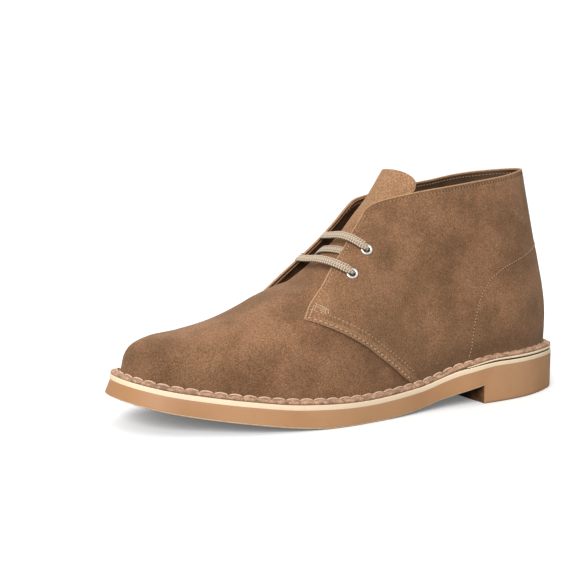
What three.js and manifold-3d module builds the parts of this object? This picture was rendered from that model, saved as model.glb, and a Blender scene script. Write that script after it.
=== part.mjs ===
// A left chukka boot in the desert-boot style, stitched down to a rubber sole.
// Millimetres. The toe points to -Y, the heel to +Y, the outer side of the foot to +X, up is +Z.
// The origin is on the floor, under the middle of the sole's outline.
import * as THREE from "three";
import { mergeVertices } from "three/addons/utils/BufferGeometryUtils.js";
import Module from "manifold-3d";

const wasm = await Module();
wasm.setup();

// Driving dimensions -------------------------------------------------------------------------

const GAP = 0.3; // clearance between neighbouring pieces
const FLANGE = 6.5; // from the sole's edge in to the feather line, where the upper stands up
const FLANGE_EDGE = 0.3; // how far the turned-out leather stops short of the sole's edge
const FLANGE_THICK = 1.8;
const WALL = 2.0; // vamp and lining together
const PROUD = 1.2; // how far the quarters stand over the vamp
const BITE = 0.8; // how deep the quarters run into the wall they are sewn to
const MIDSOLE_THICK = 2.6;
const INSOLE_THICK = 2.5;
const TONGUE_THICK = 1.8;
const TONGUE_DEPTH = 4.9; // from the form's surface down to the tongue, under the lace
const TONGUE_TOP_DEPTH = 2.9; // the same at the collar
const TOE_FLARE = 3.0; // how far the outsole's lower edge leans out round the toe
const HEEL_BREAST_Y = 71;
const WEDGE_FRONT_Y = 56;

// The sole's outline seen from above, round from the toe by the outer side: x, y.
const OUTLINE = [
  [7.8, -145.5], [21.9, -134], [32.5, -115], [45, -90], [52.5, -60], [54, -35], [49.5, 0],
  [43.5, 35], [43, 70], [38.5, 105], [28.5, 130], [17.5, 145], [1, 150], [-16.5, 145],
  [-29, 130], [-34, 105], [-31, 70], [-29.5, 35], [-35, 0], [-46.5, -35], [-52.3, -60],
  [-54, -80], [-50.5, -105], [-39.5, -130], [-27, -144], [-12.5, -150],
];
// Top of the midsole along the boot: y, z.
const BED = [
  [-150, 28.6], [-120, 22.3], [-90, 18.2], [-60, 14.8], [-20, 13.2],
  [20, 15.5], [55, 22.7], [85, 26], [120, 26], [150, 25.7],
];
// Underside of the outsole in front of the heel, with toe spring and arch: y, z.
const TREAD = [
  [-150, 17.5], [-120, 10.2], [-90, 5.6], [-60, 1.5], [-40, 0],
  [-10, 0], [15, 1.6], [40, 6.1], [71, 11.5],
];
// What the seat of the upper rises by over the heel wedge: y, rise.
const WEDGE_RISE = [[40, 0], [56, 0.8], [100, 1.6], [150, 2.0]];
// Middle line of the last: y, x.
const CENTRE = [[-150, -12], [-110, -8], [-60, -4], [-10, 0], [150, 1]];
// Instep line of the last, up the toe and back past the collar: y, z.
const INSTEP = [
  [-143.2, 36], [-138.5, 44], [-127, 49.2], [-108, 52], [-85, 57.8], [-60, 69.5],
  [-35, 86], [-10, 108], [3, 122], [9.5, 129.5], [17, 140], [26, 160], [36, 195], [46, 260],
];
// Back of the last, from the heel seat to the collar: y, z.
const BACK = [[143.5, 36], [143.7, 50], [142.1, 65], [138, 85], [132, 110], [124.7, 145]];
// Half width of the shaft: z, half width.
const SHAFT = [[30, 34], [60, 33], [85, 31], [110, 30.8], [145, 28.8]];
// How round each cross-section is: y, exponent of the height, root of the width.
const ROUND = [
  [-150, 2.3, 2.2], [-100, 2.3, 2.1], [-50, 2.1, 2.25], [0, 2.2, 2.15], [150, 2, 2],
];
const COLLAR_FRONT_Y = 8.3;
const COLLAR_RISE = 1.3; // how far the collar bows up between its front and its back
const HEEL_ROUND = 48; // depth of the rounding behind the heel

// How finely the curved pieces are faceted.
const SOLE_COLUMNS = 96;
const UPPER_COLUMNS = 76;
const UPPER_ROWS = 15;
const QUARTER_COLUMNS = 46;
const TONGUE_COLUMNS = 12;

// Shallow bars across the tread: from y to y, one each step.
const TREAD_BARS = [
  { from: -122, to: 20, step: 12 },
  { from: 84, to: 132, step: 12 },
];
const BAR_WIDTH = 4;
const BAR_DEEP = 1.2;
const BAR_MARGIN = 9;

// Front edge of a quarter on the form: height share v, run share u (0 toe, 1 heel).
const LOWER_EDGE = [
  [0, 0.575], [0.06, 0.535], [0.14, 0.47], [0.24, 0.388], [0.32, 0.308],
  [0.375, 0.236], [0.405, 0.188],
];
const FACING_EDGE = [
  [0.405, 0.188], [0.49, 0.155], [0.6, 0.129], [0.68, 0.108], [0.775, 0.092], [0.86, 0.077],
  [0.92, 0.068], [0.935, 0.076], [0.955, 0.1], [0.97, 0.14], [0.985, 0.21], [1, 0.32],
];
const MEDIAL_FACING = 0.8; // the inner facing runs nearer to the instep line
const THROAT_V = 0.5; // where the throat opening ends on the instep
const FACING_STEP = 0.006; // how far the lining reaches past the quarter at the facing

// Eyelets: name, side, v, arc from the instep line.
const EYELETS = [
  ["eyelet_outer_low", 1, 0.637, 43.5],
  ["eyelet_outer_top", 1, 0.746, 36],
  ["eyelet_inner_low", -1, 0.637, 38],
  ["eyelet_inner_top", -1, 0.746, 31.5],
];
const EYELET_HOLE = 2.3; // radius of the hole punched in the leather
const LACE_WIDTH = 5.4;
const LACE_THICK = 1.4;

// Curves and tables ---------------------------------------------------------------------------

const clamp = (x, low, high) => Math.min(high, Math.max(low, x));

function smoothStep(a, b, x) {
  const t = clamp((x - a) / (b - a), 0, 1);
  return t * t * (3 - 2 * t);
}

// A monotone cubic through the rows of a table, held flat past both ends.
function table(rows, column = 1) {
  const x = rows.map((row) => row[0]);
  const y = rows.map((row) => row[column]);
  const step = x.slice(1).map((v, i) => v - x[i]);
  const slope = step.map((h, i) => (y[i + 1] - y[i]) / h);
  const tangent = x.map((_, i) => {
    if (i === 0) return slope[0];
    if (i === x.length - 1) return slope[i - 1];
    if (slope[i - 1] * slope[i] <= 0) return 0;
    const before = 2 * step[i] + step[i - 1];
    const after = step[i] + 2 * step[i - 1];
    return (before + after) / (before / slope[i - 1] + after / slope[i]);
  });
  return (at) => {
    const p = clamp(at, x[0], x[x.length - 1]);
    let i = 0;
    while (i < step.length - 1 && p >= x[i + 1]) i++;
    const t = (p - x[i]) / step[i];
    const s = 1 - t;
    return (
      (1 + 2 * t) * s * s * y[i] + t * s * s * step[i] * tangent[i] +
      t * t * (3 - 2 * t) * y[i + 1] - t * t * s * step[i] * tangent[i + 1]
    );
  };
}

// Points of a smooth plane curve, as [a, b] pairs.
function curve(points, closed, count) {
  const spline = new THREE.CatmullRomCurve3(
    points.map(([a, b]) => new THREE.Vector3(a, b, 0)), closed, "centripetal",
  );
  return spline.getPoints(count).map((p) => [p.x, p.y]);
}

// Linear look-up of one column by another along a list of points.
function lookUp(points, key, value) {
  const rising = points[points.length - 1][key] > points[0][key];
  const list = rising ? points : [...points].reverse();
  return (at) => {
    if (at <= list[0][key]) return list[0][value];
    if (at >= list[list.length - 1][key]) return list[list.length - 1][value];
    let low = 0;
    let high = list.length - 1;
    while (high - low > 1) {
      const mid = (low + high) >> 1;
      if (list[mid][key] <= at) low = mid;
      else high = mid;
    }
    const t = (at - list[low][key]) / (list[high][key] - list[low][key]);
    return list[low][value] + t * (list[high][value] - list[low][value]);
  };
}

// A walk along a list of points by share of its length.
function walk(points) {
  const run = [0];
  for (let i = 1; i < points.length; i++) {
    const [a, b] = [points[i - 1], points[i]];
    run.push(run[i - 1] + Math.hypot(b[0] - a[0], b[1] - a[1]));
  }
  const rows = points.map((p, i) => [run[i] / run[run.length - 1], p[0], p[1]]);
  const first = lookUp(rows, 0, 1);
  const second = lookUp(rows, 0, 2);
  return (share) => [first(share), second(share)];
}

// The outline grown outwards by a distance.
function grow(points, distance) {
  const count = points.length;
  return points.map(([x, y], i) => {
    const before = points[(i + count - 1) % count];
    const after = points[(i + 1) % count];
    const tx = after[0] - before[0];
    const ty = after[1] - before[1];
    const length = Math.hypot(tx, ty);
    return [x + (ty / length) * distance, y - (tx / length) * distance];
  });
}

// Both sides of a closed outline, each from the toe to the heel.
function sides(points) {
  const byY = (best, p, i) => (p[1] < points[best][1] ? i : best);
  const toe = points.reduce(byY, 0);
  const turned = [...points.slice(toe), ...points.slice(0, toe)];
  const heel = turned.reduce((best, p, i) => (p[1] > turned[best][1] ? i : best), 0);
  return {
    outer: turned.slice(0, heel + 1),
    inner: [...turned.slice(heel), turned[0]].reverse(),
  };
}

const outline = curve(OUTLINE, true, 1200).slice(0, -1);
const feather = sides(grow(outline, -FLANGE));
const bed = table(BED);
const tread = table(TREAD);
const wedgeRise = table(WEDGE_RISE);
const seat = (y) => bed(y) + GAP + wedgeRise(y);

// The last ------------------------------------------------------------------------------------

const centre = table(CENTRE);
const shaft = table(SHAFT);
const heightPower = table(ROUND, 1);
const widthRoot = table(ROUND, 2);
const TOE_Y = feather.outer[0][1];
const HEEL_Y = feather.outer[feather.outer.length - 1][1];
const backLine = curve([[HEEL_Y, seat(HEEL_Y)], ...BACK], false, 800);
const instepLine = curve([[TOE_Y, seat(TOE_Y)], ...INSTEP], false, 1600);
const toeTip = instepLine.reduce((best, p, i) => (p[0] < instepLine[best][0] ? i : best), 0);
const collarFront = instepLine.findIndex(([y], i) => i > toeTip && y > COLLAR_FRONT_Y);
const front = walk(instepLine.slice(0, collarFront + 1));
const back = walk(backLine);
const crestHeight = lookUp(instepLine.slice(toeTip), 0, 1);
const backY = lookUp(backLine, 1, 0);
const featherWalk = { 1: walk(feather.outer), [-1]: walk(feather.inner) };
const featherX = { 1: lookUp(feather.outer, 1, 0), [-1]: lookUp(feather.inner, 1, 0) };

// The last's x at a place in side view: straight up from the feather line in front, blending
// into the shaft's round back behind, and closing over the instep as a rounded section.
function sideX(y, z, side) {
  const rear = smoothStep(-20, 140, y);
  const seatY = clamp(y + ((HEEL_Y - backY(z)) * rear) / Math.max(rear, 0.2), TOE_Y, HEEL_Y);
  const up = smoothStep(-30, 45, y) * smoothStep(0, 60, z - seat(y));
  const depth = clamp(backY(z) - y, 0, HEEL_ROUND) / HEEL_ROUND;
  const round = Math.sqrt(Math.max(0, 1 - (1 - depth) ** 2));
  const foot = Math.abs(featherX[side](seatY) - centre(seatY));
  const across = (1 - up) * foot + up * shaft(z) * round;
  const rise = clamp((z - seat(y)) / Math.max(crestHeight(y) - seat(y), 1e-3), 0, 1);
  const crown = Math.max(0, 1 - rise ** heightPower(y)) ** (1 / widthRoot(y));
  return centre(y) * (1 - up) + side * across * crown;
}

// A point of the form. w runs once round the boot (0 toe, 1 heel, outer side first),
// v runs up from the feather line (0) to the collar line (1).
function formPoint(w, v) {
  const turn = ((w % 2) + 2) % 2;
  const side = turn <= 1 ? 1 : -1;
  const u = side > 0 ? turn : 2 - turn;
  const y0 = featherWalk[side](u)[1];
  const [frontY, frontZ] = front(v);
  const [rearY, rearZ] = back(v);
  const ahead = (y0 - HEEL_Y) / (TOE_Y - HEEL_Y);
  const y = rearY + (frontY - rearY) * ahead;
  const straight = seat(HEEL_Y) + (seat(TOE_Y) - seat(HEEL_Y)) * ahead;
  const bow = v * COLLAR_RISE * 4 * ahead * (1 - ahead);
  const z = rearZ + (frontZ - rearZ) * ahead + (1 - v) ** 2 * (seat(y0) - straight) + bow;
  return new THREE.Vector3(sideX(y, z, side), y, z);
}

function formNormal(w, v) {
  const along = formPoint(w + 0.006, v).sub(formPoint(w - 0.006, v));
  const up = formPoint(w, Math.min(1, v + 0.006)).sub(formPoint(w, Math.max(0, v - 0.006)));
  return along.cross(up).normalize();
}

const offForm = (w, v, distance) => formPoint(w, v).addScaledVector(formNormal(w, v), distance);

// The w at a given arc across the boot from the instep line, at a height share v.
function arcToW(v, side, arc) {
  const step = 0.004;
  let run = 0;
  let last = formPoint(0, v);
  for (let u = step; u < 1; u += step) {
    const next = formPoint(side * u, v);
    const more = next.distanceTo(last);
    if (run + more >= arc) return side * (u - step + (step * (arc - run)) / more);
    run += more;
    last = next;
  }
  return side;
}

const lowerEdge = table(LOWER_EDGE);
const facingEdge = table(FACING_EDGE);
const CORNER_V = FACING_EDGE[0][0];

// The run share of a quarter's front edge.
function quarterFront(v, side) {
  const u = v < CORNER_V ? lowerEdge(v) : facingEdge(v);
  const towards = side > 0 ? 1 : 1 + (MEDIAL_FACING - 1) * smoothStep(0, CORNER_V, v);
  return u * towards;
}

// Solids --------------------------------------------------------------------------------------

const shares = (count, power = 1) =>
  Array.from({ length: count + 1 }, (_, i) => (i / count) ** power);

function geometryOf(vertices, faces) {
  const geometry = new THREE.BufferGeometry();
  geometry.setAttribute("position", new THREE.Float32BufferAttribute(vertices.flat(), 3));
  geometry.setIndex(faces.flat());
  return geometry;
}

// A closed sheet between two grids of points, rows by columns, that face outwards and inwards.
// A ring's last column joins its first.
function sheetGeometry(outside, inside, ring) {
  const rows = outside.length;
  const columns = outside[0].length;
  const vertices = [...outside.flat(), ...inside.flat()].map((p) => p.toArray());
  const outer = (r, c) => r * columns + (c % columns);
  const inner = (r, c) => rows * columns + outer(r, c);
  const faces = [];
  const quad = (a, b, c, d) => faces.push([a, b, c], [a, c, d]);
  const last = ring ? columns : columns - 1;
  for (let c = 0; c < last; c++) {
    for (let r = 0; r < rows - 1; r++) {
      quad(outer(r, c), outer(r, c + 1), outer(r + 1, c + 1), outer(r + 1, c));
      quad(inner(r, c), inner(r + 1, c), inner(r + 1, c + 1), inner(r, c + 1));
    }
    quad(outer(0, c), inner(0, c), inner(0, c + 1), outer(0, c + 1));
    quad(outer(rows - 1, c), outer(rows - 1, c + 1), inner(rows - 1, c + 1), inner(rows - 1, c));
  }
  if (!ring) {
    for (let r = 0; r < rows - 1; r++) {
      quad(outer(r, 0), outer(r + 1, 0), inner(r + 1, 0), inner(r, 0));
      quad(outer(r, last), inner(r, last), inner(r + 1, last), outer(r + 1, last));
    }
  }
  return geometryOf(vertices, faces);
}

function solidOf(geometry) {
  const bare = geometry.clone();
  bare.deleteAttribute("normal");
  bare.deleteAttribute("uv");
  const merged = mergeVertices(bare, 1e-4);
  return new wasm.Manifold(
    new wasm.Mesh({
      numProp: 3,
      vertProperties: merged.attributes.position.array,
      triVerts: new Uint32Array(merged.index.array),
    }),
  );
}

function geometryFrom(solid) {
  const mesh = solid.getMesh();
  const geometry = new THREE.BufferGeometry();
  const positions = new Float32Array(mesh.vertProperties);
  geometry.setAttribute("position", new THREE.BufferAttribute(positions, 3));
  geometry.setIndex(new THREE.BufferAttribute(new Uint32Array(mesh.triVerts), 1));
  return geometry;
}

// A ring of points round the sole's outline, grown outwards by growth(y).
function soleRing(growth) {
  const grown = grow(outline, 1);
  const { outer } = sides(outline);
  const start = outline.indexOf(outer[0]);
  const stride = outline.length / SOLE_COLUMNS;
  return Array.from({ length: SOLE_COLUMNS }, (_, i) => {
    const at = (start + Math.round(i * stride)) % outline.length;
    const [x, y] = outline[at];
    const distance = growth(y);
    return {
      x: x + (grown[at][0] - x) * distance,
      y: y + (grown[at][1] - y) * distance,
      along: y,
    };
  });
}

// A closed slab of the sole from its levels, top first, each with a height z(y) and a growth.
function slabGeometry(levels) {
  const rings = levels.map(({ z, growth = () => 0 }) =>
    soleRing(growth).map((p) => [p.x, p.y, z(p.along)]),
  );
  const count = SOLE_COLUMNS;
  const last = (levels.length - 1) * count;
  const faces = [];
  const quad = (a, b, c, d) => faces.push([a, b, c], [a, c, d]);
  for (let level = 0; level < levels.length - 1; level++) {
    const upper = level * count;
    const lower = upper + count;
    for (let i = 0; i < count; i++) {
      const next = (i + 1) % count;
      quad(upper + i, lower + i, lower + next, upper + next);
    }
  }
  // Both faces are strips across the sole, from one side's ring to the other's.
  faces.push([0, 1, count - 1], [last, last + count - 1, last + 1]);
  const half = count / 2;
  for (let i = 1; i < half - 1; i++) {
    quad(i, i + 1, count - i - 1, count - i);
    quad(last + i, last + count - i, last + count - i - 1, last + i + 1);
  }
  faces.push([half - 1, half, half + 1], [last + half - 1, last + half + 1, last + half]);
  return geometryOf(rings.flat(), faces);
}

// A ribbon with rounded edges along a list of { at, up } places.
function ribbonGeometry(places, width, thick) {
  const corners = 8;
  const vertices = [];
  places.forEach(({ at, up }, i) => {
    const before = places[Math.max(0, i - 1)].at;
    const after = places[Math.min(places.length - 1, i + 1)].at;
    const along = after.clone().sub(before).normalize();
    const across = along.clone().cross(up).normalize();
    const lift = across.clone().cross(along);
    for (let k = 0; k < corners; k++) {
      const turn = ((k + 0.5) / corners) * 2 * Math.PI;
      const side = Math.sign(Math.cos(turn)) * Math.abs(Math.cos(turn)) ** 0.5;
      const high = Math.sign(Math.sin(turn)) * Math.abs(Math.sin(turn)) ** 0.8;
      const p = at.clone().addScaledVector(across, (side * width) / 2);
      vertices.push(p.addScaledVector(lift, (high * thick) / 2).toArray());
    }
  });
  const faces = [];
  const last = (places.length - 1) * corners;
  for (let k = 1; k < corners - 1; k++) {
    faces.push([0, k, k + 1], [last, last + k + 1, last + k]);
  }
  for (let i = 0; i < places.length - 1; i++) {
    for (let k = 0; k < corners; k++) {
      const a = i * corners + k;
      const b = i * corners + ((k + 1) % corners);
      faces.push([a, a + corners, b + corners], [a, b + corners, b]);
    }
  }
  return geometryOf(vertices, faces);
}

// Soles ---------------------------------------------------------------------------------------

function boxSolid(from, to) {
  const size = to.map((value, i) => value - from[i]);
  const box = new THREE.BoxGeometry(...size);
  box.translate(...to.map((value, i) => (value + from[i]) / 2));
  return solidOf(box);
}

// Everything under the tread line in front of the heel breast.
function archCutter() {
  const reach = 170;
  const halfWidth = 80;
  const shape = new THREE.Shape();
  shape.moveTo(-reach, -10);
  for (const share of shares(28)) {
    const y = -reach + share * (HEEL_BREAST_Y + reach);
    shape.lineTo(y, tread(y));
  }
  shape.lineTo(HEEL_BREAST_Y, -10);
  const geometry = new THREE.ExtrudeGeometry(shape, { depth: 2 * halfWidth, bevelEnabled: false });
  const toPlace = new THREE.Matrix4().makeBasis(
    new THREE.Vector3(0, 1, 0), new THREE.Vector3(0, 0, 1), new THREE.Vector3(1, 0, 0),
  );
  geometry.applyMatrix4(toPlace);
  geometry.translate(-halfWidth, 0, 0);
  return solidOf(geometry);
}

function outsole() {
  const edge = 1.5; // the lower edge is eased by this much
  const isHeel = (y) => y > HEEL_BREAST_Y - 25;
  const flare = (y) => TOE_FLARE * clamp((-y - 60) / 90, 0, 1) ** 1.5;
  let solid = solidOf(slabGeometry([
    { z: (y) => bed(y) - MIDSOLE_THICK - GAP },
    { z: (y) => (isHeel(y) ? edge : tread(y) + edge), growth: flare },
    { z: (y) => (isHeel(y) ? 0 : -1), growth: (y) => (isHeel(y) ? -edge : flare(y)) },
  ]));
  solid = solid.subtract(archCutter());
  const { outer, inner } = sides(outline);
  const outerX = lookUp(outer, 1, 0);
  const innerX = lookUp(inner, 1, 0);
  for (const { from, to, step } of TREAD_BARS) {
    for (let y = from; y <= to; y += step) {
      const floor = y > HEEL_BREAST_Y ? 0 : tread(y);
      const low = [innerX(y) + BAR_MARGIN, y, -5];
      const high = [outerX(y) - BAR_MARGIN, y + BAR_WIDTH, floor + BAR_DEEP];
      solid = solid.subtract(boxSolid(low, high));
    }
  }
  return geometryFrom(solid);
}

function midsole() {
  return slabGeometry([{ z: bed }, { z: (y) => bed(y) - MIDSOLE_THICK }]);
}

function heelWedge() {
  const slab = solidOf(slabGeometry([
    { z: (y) => Math.max(seat(y) - GAP, bed(y) + 2 * GAP) },
    { z: (y) => bed(y) + GAP },
  ]));
  return geometryFrom(slab.subtract(boxSolid([-90, -200, -20], [90, WEDGE_FRONT_Y, 90])));
}

function insole() {
  const inset = () => -(FLANGE + WALL + 3 * GAP);
  return slabGeometry([
    { z: (y) => seat(y) + INSOLE_THICK, growth: inset },
    { z: seat, growth: inset },
  ]);
}

// Upper ---------------------------------------------------------------------------------------

// The feather line at w, and its outward direction in plan.
function featherPlace(w) {
  const at = formPoint(w, 0);
  const ahead = formPoint(w + 0.004, 0).sub(formPoint(w - 0.004, 0));
  return { at, out: new THREE.Vector3(ahead.y, -ahead.x, 0).normalize() };
}

// Vamp, lining and flange: one wall that turns out at the feather line.
function shellGeometry() {
  const firstV = 0.03;
  const lastV = 0.985;
  const columns = Array.from({ length: UPPER_COLUMNS }, (_, i) => (2 * i) / UPPER_COLUMNS);
  const rows = shares(UPPER_ROWS, 1.35).map((share) => firstV + (lastV - firstV) * share);
  const flange = (w, reach, height) => {
    const { at, out } = featherPlace(w);
    const p = at.clone().addScaledVector(out, reach);
    p.z = seat(p.y) + height;
    return p;
  };
  const reach = FLANGE - FLANGE_EDGE;
  const outside = [
    columns.map((w) => flange(w, reach, FLANGE_THICK)),
    columns.map((w) => flange(w, 0.9, FLANGE_THICK + 0.2)),
    ...rows.map((v) => columns.map((w) => formPoint(w, v))),
  ];
  const inside = [
    columns.map((w) => flange(w, reach, 0)),
    columns.map((w) => flange(w, -WALL, 0)),
    ...rows.map((v) => columns.map((w) => offForm(w, v, -WALL))),
  ];
  return sheetGeometry(outside, inside, true);
}

// The quarters: the outer layer from both front edges round the heel.
function quartersGeometry() {
  const rows = [
    0.035, 0.1, 0.18, 0.26, 0.33, 0.385, CORNER_V, 0.45, 0.55, 0.65, 0.75, 0.84, 0.91, 0.945,
    0.972, 1,
  ];
  const place = (share, v) => {
    const from = quarterFront(v, 1);
    const to = 2 - quarterFront(v, -1);
    return from + (to - from) * share;
  };
  const grid = (distance) =>
    rows.map((v) => shares(QUARTER_COLUMNS).map((share) => offForm(place(share, v), v, distance)));
  return sheetGeometry(grid(PROUD), grid(-BITE), false);
}

// What is cut away between the facings, down to the throat line.
function throatGeometry() {
  const rows = [
    THROAT_V, 0.56, 0.62, 0.68, 0.74, 0.8, 0.86, 0.91, 0.935, 0.955, 0.975, 1,
  ];
  const reach = (v, side) =>
    Math.min(quarterFront(v, side), quarterFront(v - 0.01, side)) - FACING_STEP;
  const place = (share, v) => -reach(v, -1) + (reach(v, 1) + reach(v, -1)) * share;
  const grid = (distance) => {
    const lines = rows.map((v) => shares(14).map((share) => offForm(place(share, v), v, distance)));
    const over = lines[lines.length - 1].map((p) => p.clone().add(new THREE.Vector3(0, 2, 12)));
    return [...lines, over];
  };
  return sheetGeometry(grid(7), grid(-6), false);
}

function eyeletPlace([, side, v, arc]) {
  const w = arcToW(v, side, arc);
  return { at: formPoint(w, v), out: formNormal(w, v), w, v };
}

// Stands a shape that is built round +Z on the form at a place.
function standAt(geometry, { at, out }) {
  const turn = new THREE.Quaternion().setFromUnitVectors(new THREE.Vector3(0, 0, 1), out);
  geometry.applyQuaternion(turn);
  geometry.translate(at.x, at.y, at.z);
  return geometry;
}

function upper() {
  let solid = solidOf(shellGeometry()).add(solidOf(quartersGeometry()));
  solid = solid.subtract(solidOf(throatGeometry()));
  for (const row of EYELETS) {
    const punch = new THREE.CylinderGeometry(EYELET_HOLE, EYELET_HOLE, 16, 12);
    punch.rotateX(Math.PI / 2);
    solid = solid.subtract(solidOf(standAt(punch, eyeletPlace(row))));
  }
  return geometryFrom(solid);
}

// Tongue --------------------------------------------------------------------------------------

// Rows of the tongue: v on the form, run past the collar, half width as an arc.
const TONGUE_ROWS = [
  [0.44, 0, 47], [0.5, 0, 46], [0.58, 0, 41], [0.68, 0, 35], [0.78, 0, 31.5], [0.88, 0, 30],
  [0.96, 0, 30], [1, 0, 30], [1, 5, 29.3], [1, 10, 26], [1, 14, 21.8], [1, 17.5, 17],
  [1, 20, 12], [1, 21.5, 6],
];
const TONGUE_LEAN = new THREE.Vector3(0, 0.56, 0.83);

function tongueGeometry() {
  const tucked = WALL + 2 * GAP;
  const depth = (v) => {
    const low = tucked + (TONGUE_DEPTH - tucked) * smoothStep(0.5, 0.6, v);
    return low + (TONGUE_TOP_DEPTH - low) * smoothStep(0.8, 0.96, v);
  };
  const grid = (below) =>
    TONGUE_ROWS.map(([v, run, half]) =>
      shares(TONGUE_COLUMNS).map((share) => {
        const across = 2 * share - 1;
        const w = arcToW(v, Math.sign(across) || 1, Math.abs(across) * half);
        return offForm(w, v, -depth(v) - below).addScaledVector(TONGUE_LEAN, run);
      }),
    );
  return sheetGeometry(grid(0), grid(TONGUE_THICK), false);
}

// Eyelets and lace ----------------------------------------------------------------------------

// A tube through the leather with a rolled rim on the outer face.
function eyeletGeometry(place) {
  const face = PROUD + GAP;
  const profile = [
    [1.6, -2.6], [1.95, -2.6], [1.95, face + 0.1], [3.4, face + 0.1], [3.6, face + 0.5],
    [3.1, face + 0.95], [2.2, face + 1.0], [1.6, face + 0.5],
  ].map(([r, z]) => new THREE.Vector2(r, z));
  const ring = new THREE.LatheGeometry([...profile, profile[0]], 16);
  ring.rotateX(Math.PI / 2);
  return standAt(ring, place);
}

// A stretch of lace between two eyelets, which bows up the boot on its way.
function laceGeometry(from, to, stations) {
  const places = stations.map(([share, height, bow]) => {
    const w = from.w + (to.w - from.w) * share;
    const v = from.v + (to.v - from.v) * share + bow;
    return { at: offForm(w, v, height), up: formNormal(w, v) };
  });
  return ribbonGeometry(places, LACE_WIDTH, LACE_THICK);
}

// Share of the way between the eyelets, height over the form, rise in v.
const BAR_STATIONS = [
  [0.08, 3.3, 0.02], [0.15, 3.1, 0.036], [0.22, 3, 0.051], [0.3, 2.9, 0.065],
  [0.38, 2.4, 0.073], [0.46, 1.9, 0.074], [0.54, 1.8, 0.071], [0.62, 2.1, 0.066],
  [0.7, 2.6, 0.06], [0.78, 3.1, 0.052], [0.85, 3.2, 0.04], [0.92, 3.4, 0.024],
];
const UNDER_STATIONS = [
  [0.12, -3.2, 0.03], [0.22, -3.2, 0.062], [0.34, -3.2, 0.085], [0.45, -3.2, 0.092],
  [0.56, -3.2, 0.086], [0.67, -3.2, 0.07], [0.78, -3.2, 0.045], [0.88, -3.2, 0.018],
];

// The boot ------------------------------------------------------------------------------------

const SUEDE = { color: 0xa07c5b, roughness: 0.95, metalness: 0 };
const MATERIALS = {
  rubber: new THREE.MeshStandardMaterial({ color: 0xb98b57, roughness: 0.6, metalness: 0 }),
  cream: new THREE.MeshStandardMaterial({ color: 0xf0dcb8, roughness: 0.6, metalness: 0 }),
  suede: new THREE.MeshStandardMaterial(SUEDE),
  tongue: new THREE.MeshStandardMaterial({ ...SUEDE, color: 0xa9855f }),
  leather: new THREE.MeshStandardMaterial({ color: 0x8a6040, roughness: 0.7, metalness: 0 }),
  metal: new THREE.MeshStandardMaterial({ color: 0xd8d6d0, roughness: 0.3, metalness: 1 }),
  lace: new THREE.MeshStandardMaterial({ color: 0xc2b08c, roughness: 0.9, metalness: 0 }),
};

const boot = new THREE.Group();
boot.position.y = TOE_FLARE / 2; // the flared toe lengthens the sole by this much in front

function addPiece(name, geometry, material) {
  const mesh = new THREE.Mesh(geometry, MATERIALS[material]);
  mesh.name = name;
  boot.add(mesh);
}

addPiece("outsole", outsole(), "rubber");
addPiece("midsole", midsole(), "cream");
addPiece("heel_wedge", heelWedge(), "cream");
addPiece("insole", insole(), "leather");
addPiece("upper", upper(), "suede");
addPiece("tongue", tongueGeometry(), "tongue");

const places = EYELETS.map(eyeletPlace);
EYELETS.forEach(([name], i) => addPiece(name, eyeletGeometry(places[i]), "metal"));
const [outerLow, outerTop, innerLow, innerTop] = places;
addPiece("lace_low_bar", laceGeometry(outerLow, innerLow, BAR_STATIONS), "lace");
addPiece("lace_top_bar", laceGeometry(outerTop, innerTop, BAR_STATIONS), "lace");
addPiece("lace_diagonal", laceGeometry(innerLow, outerTop, UNDER_STATIONS), "lace");

export default boot;
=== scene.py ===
"""The looks of a left chukka boot in sandy suede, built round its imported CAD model.

Shapes are worked out in millimetres on the same last as the CAD model. A place on it is (w, v):
w runs once round the boot (0 toe, 1 heel, outer side first, 2 toe again) and v runs up from the
feather line (0) to the collar line (1). u is the run on either side, 0 at the toe and 1 at the
heel. The toe points to -Y, the outer side to +X, up is +Z."""

import math

import bpy
import numpy as np
from mathutils import Matrix, Vector


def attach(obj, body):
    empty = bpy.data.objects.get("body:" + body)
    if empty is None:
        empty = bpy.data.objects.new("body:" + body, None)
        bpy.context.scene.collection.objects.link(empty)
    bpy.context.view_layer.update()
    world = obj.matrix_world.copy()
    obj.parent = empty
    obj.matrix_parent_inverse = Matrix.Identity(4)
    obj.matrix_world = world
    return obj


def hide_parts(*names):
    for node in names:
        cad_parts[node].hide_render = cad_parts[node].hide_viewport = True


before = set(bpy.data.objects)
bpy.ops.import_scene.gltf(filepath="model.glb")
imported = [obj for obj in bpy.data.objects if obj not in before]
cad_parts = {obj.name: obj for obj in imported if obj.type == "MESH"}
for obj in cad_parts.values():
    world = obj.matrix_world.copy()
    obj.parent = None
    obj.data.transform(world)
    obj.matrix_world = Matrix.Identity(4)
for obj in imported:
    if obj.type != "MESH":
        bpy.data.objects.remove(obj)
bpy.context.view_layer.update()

MM = 0.001
SHIFT_Y = 1.5  # the last's own middle lies this far behind the frame's origin, in mm

# Driving dimensions, in millimetres or as shares ----------------------------------------------

FLANGE = 6.5  # from the sole's edge in to the feather line
WALL = 2.0
LINING_EDGE = 1.1  # thickness of the lining at its edges
FACE = 1.3  # from the last to the face of a quarter
GAP = 0.3
MIDSOLE_THICK = 2.6
INSOLE_THICK = 2.5
TONGUE_THICK = 1.8
TOE_FLARE = 3.0
HEEL_BREAST_Y = 71.0
WEDGE_FRONT_Y = 56.0
JOINT_DIP = 0.5  # how far the midsole's top dips under the wedge's dark joint
TREAD_GROOVES = [(-122, 25), (84, 137)]  # where they start and stop along the sole
GROOVE_PITCH = 12
GROOVE_DEPTH = 1.2

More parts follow.
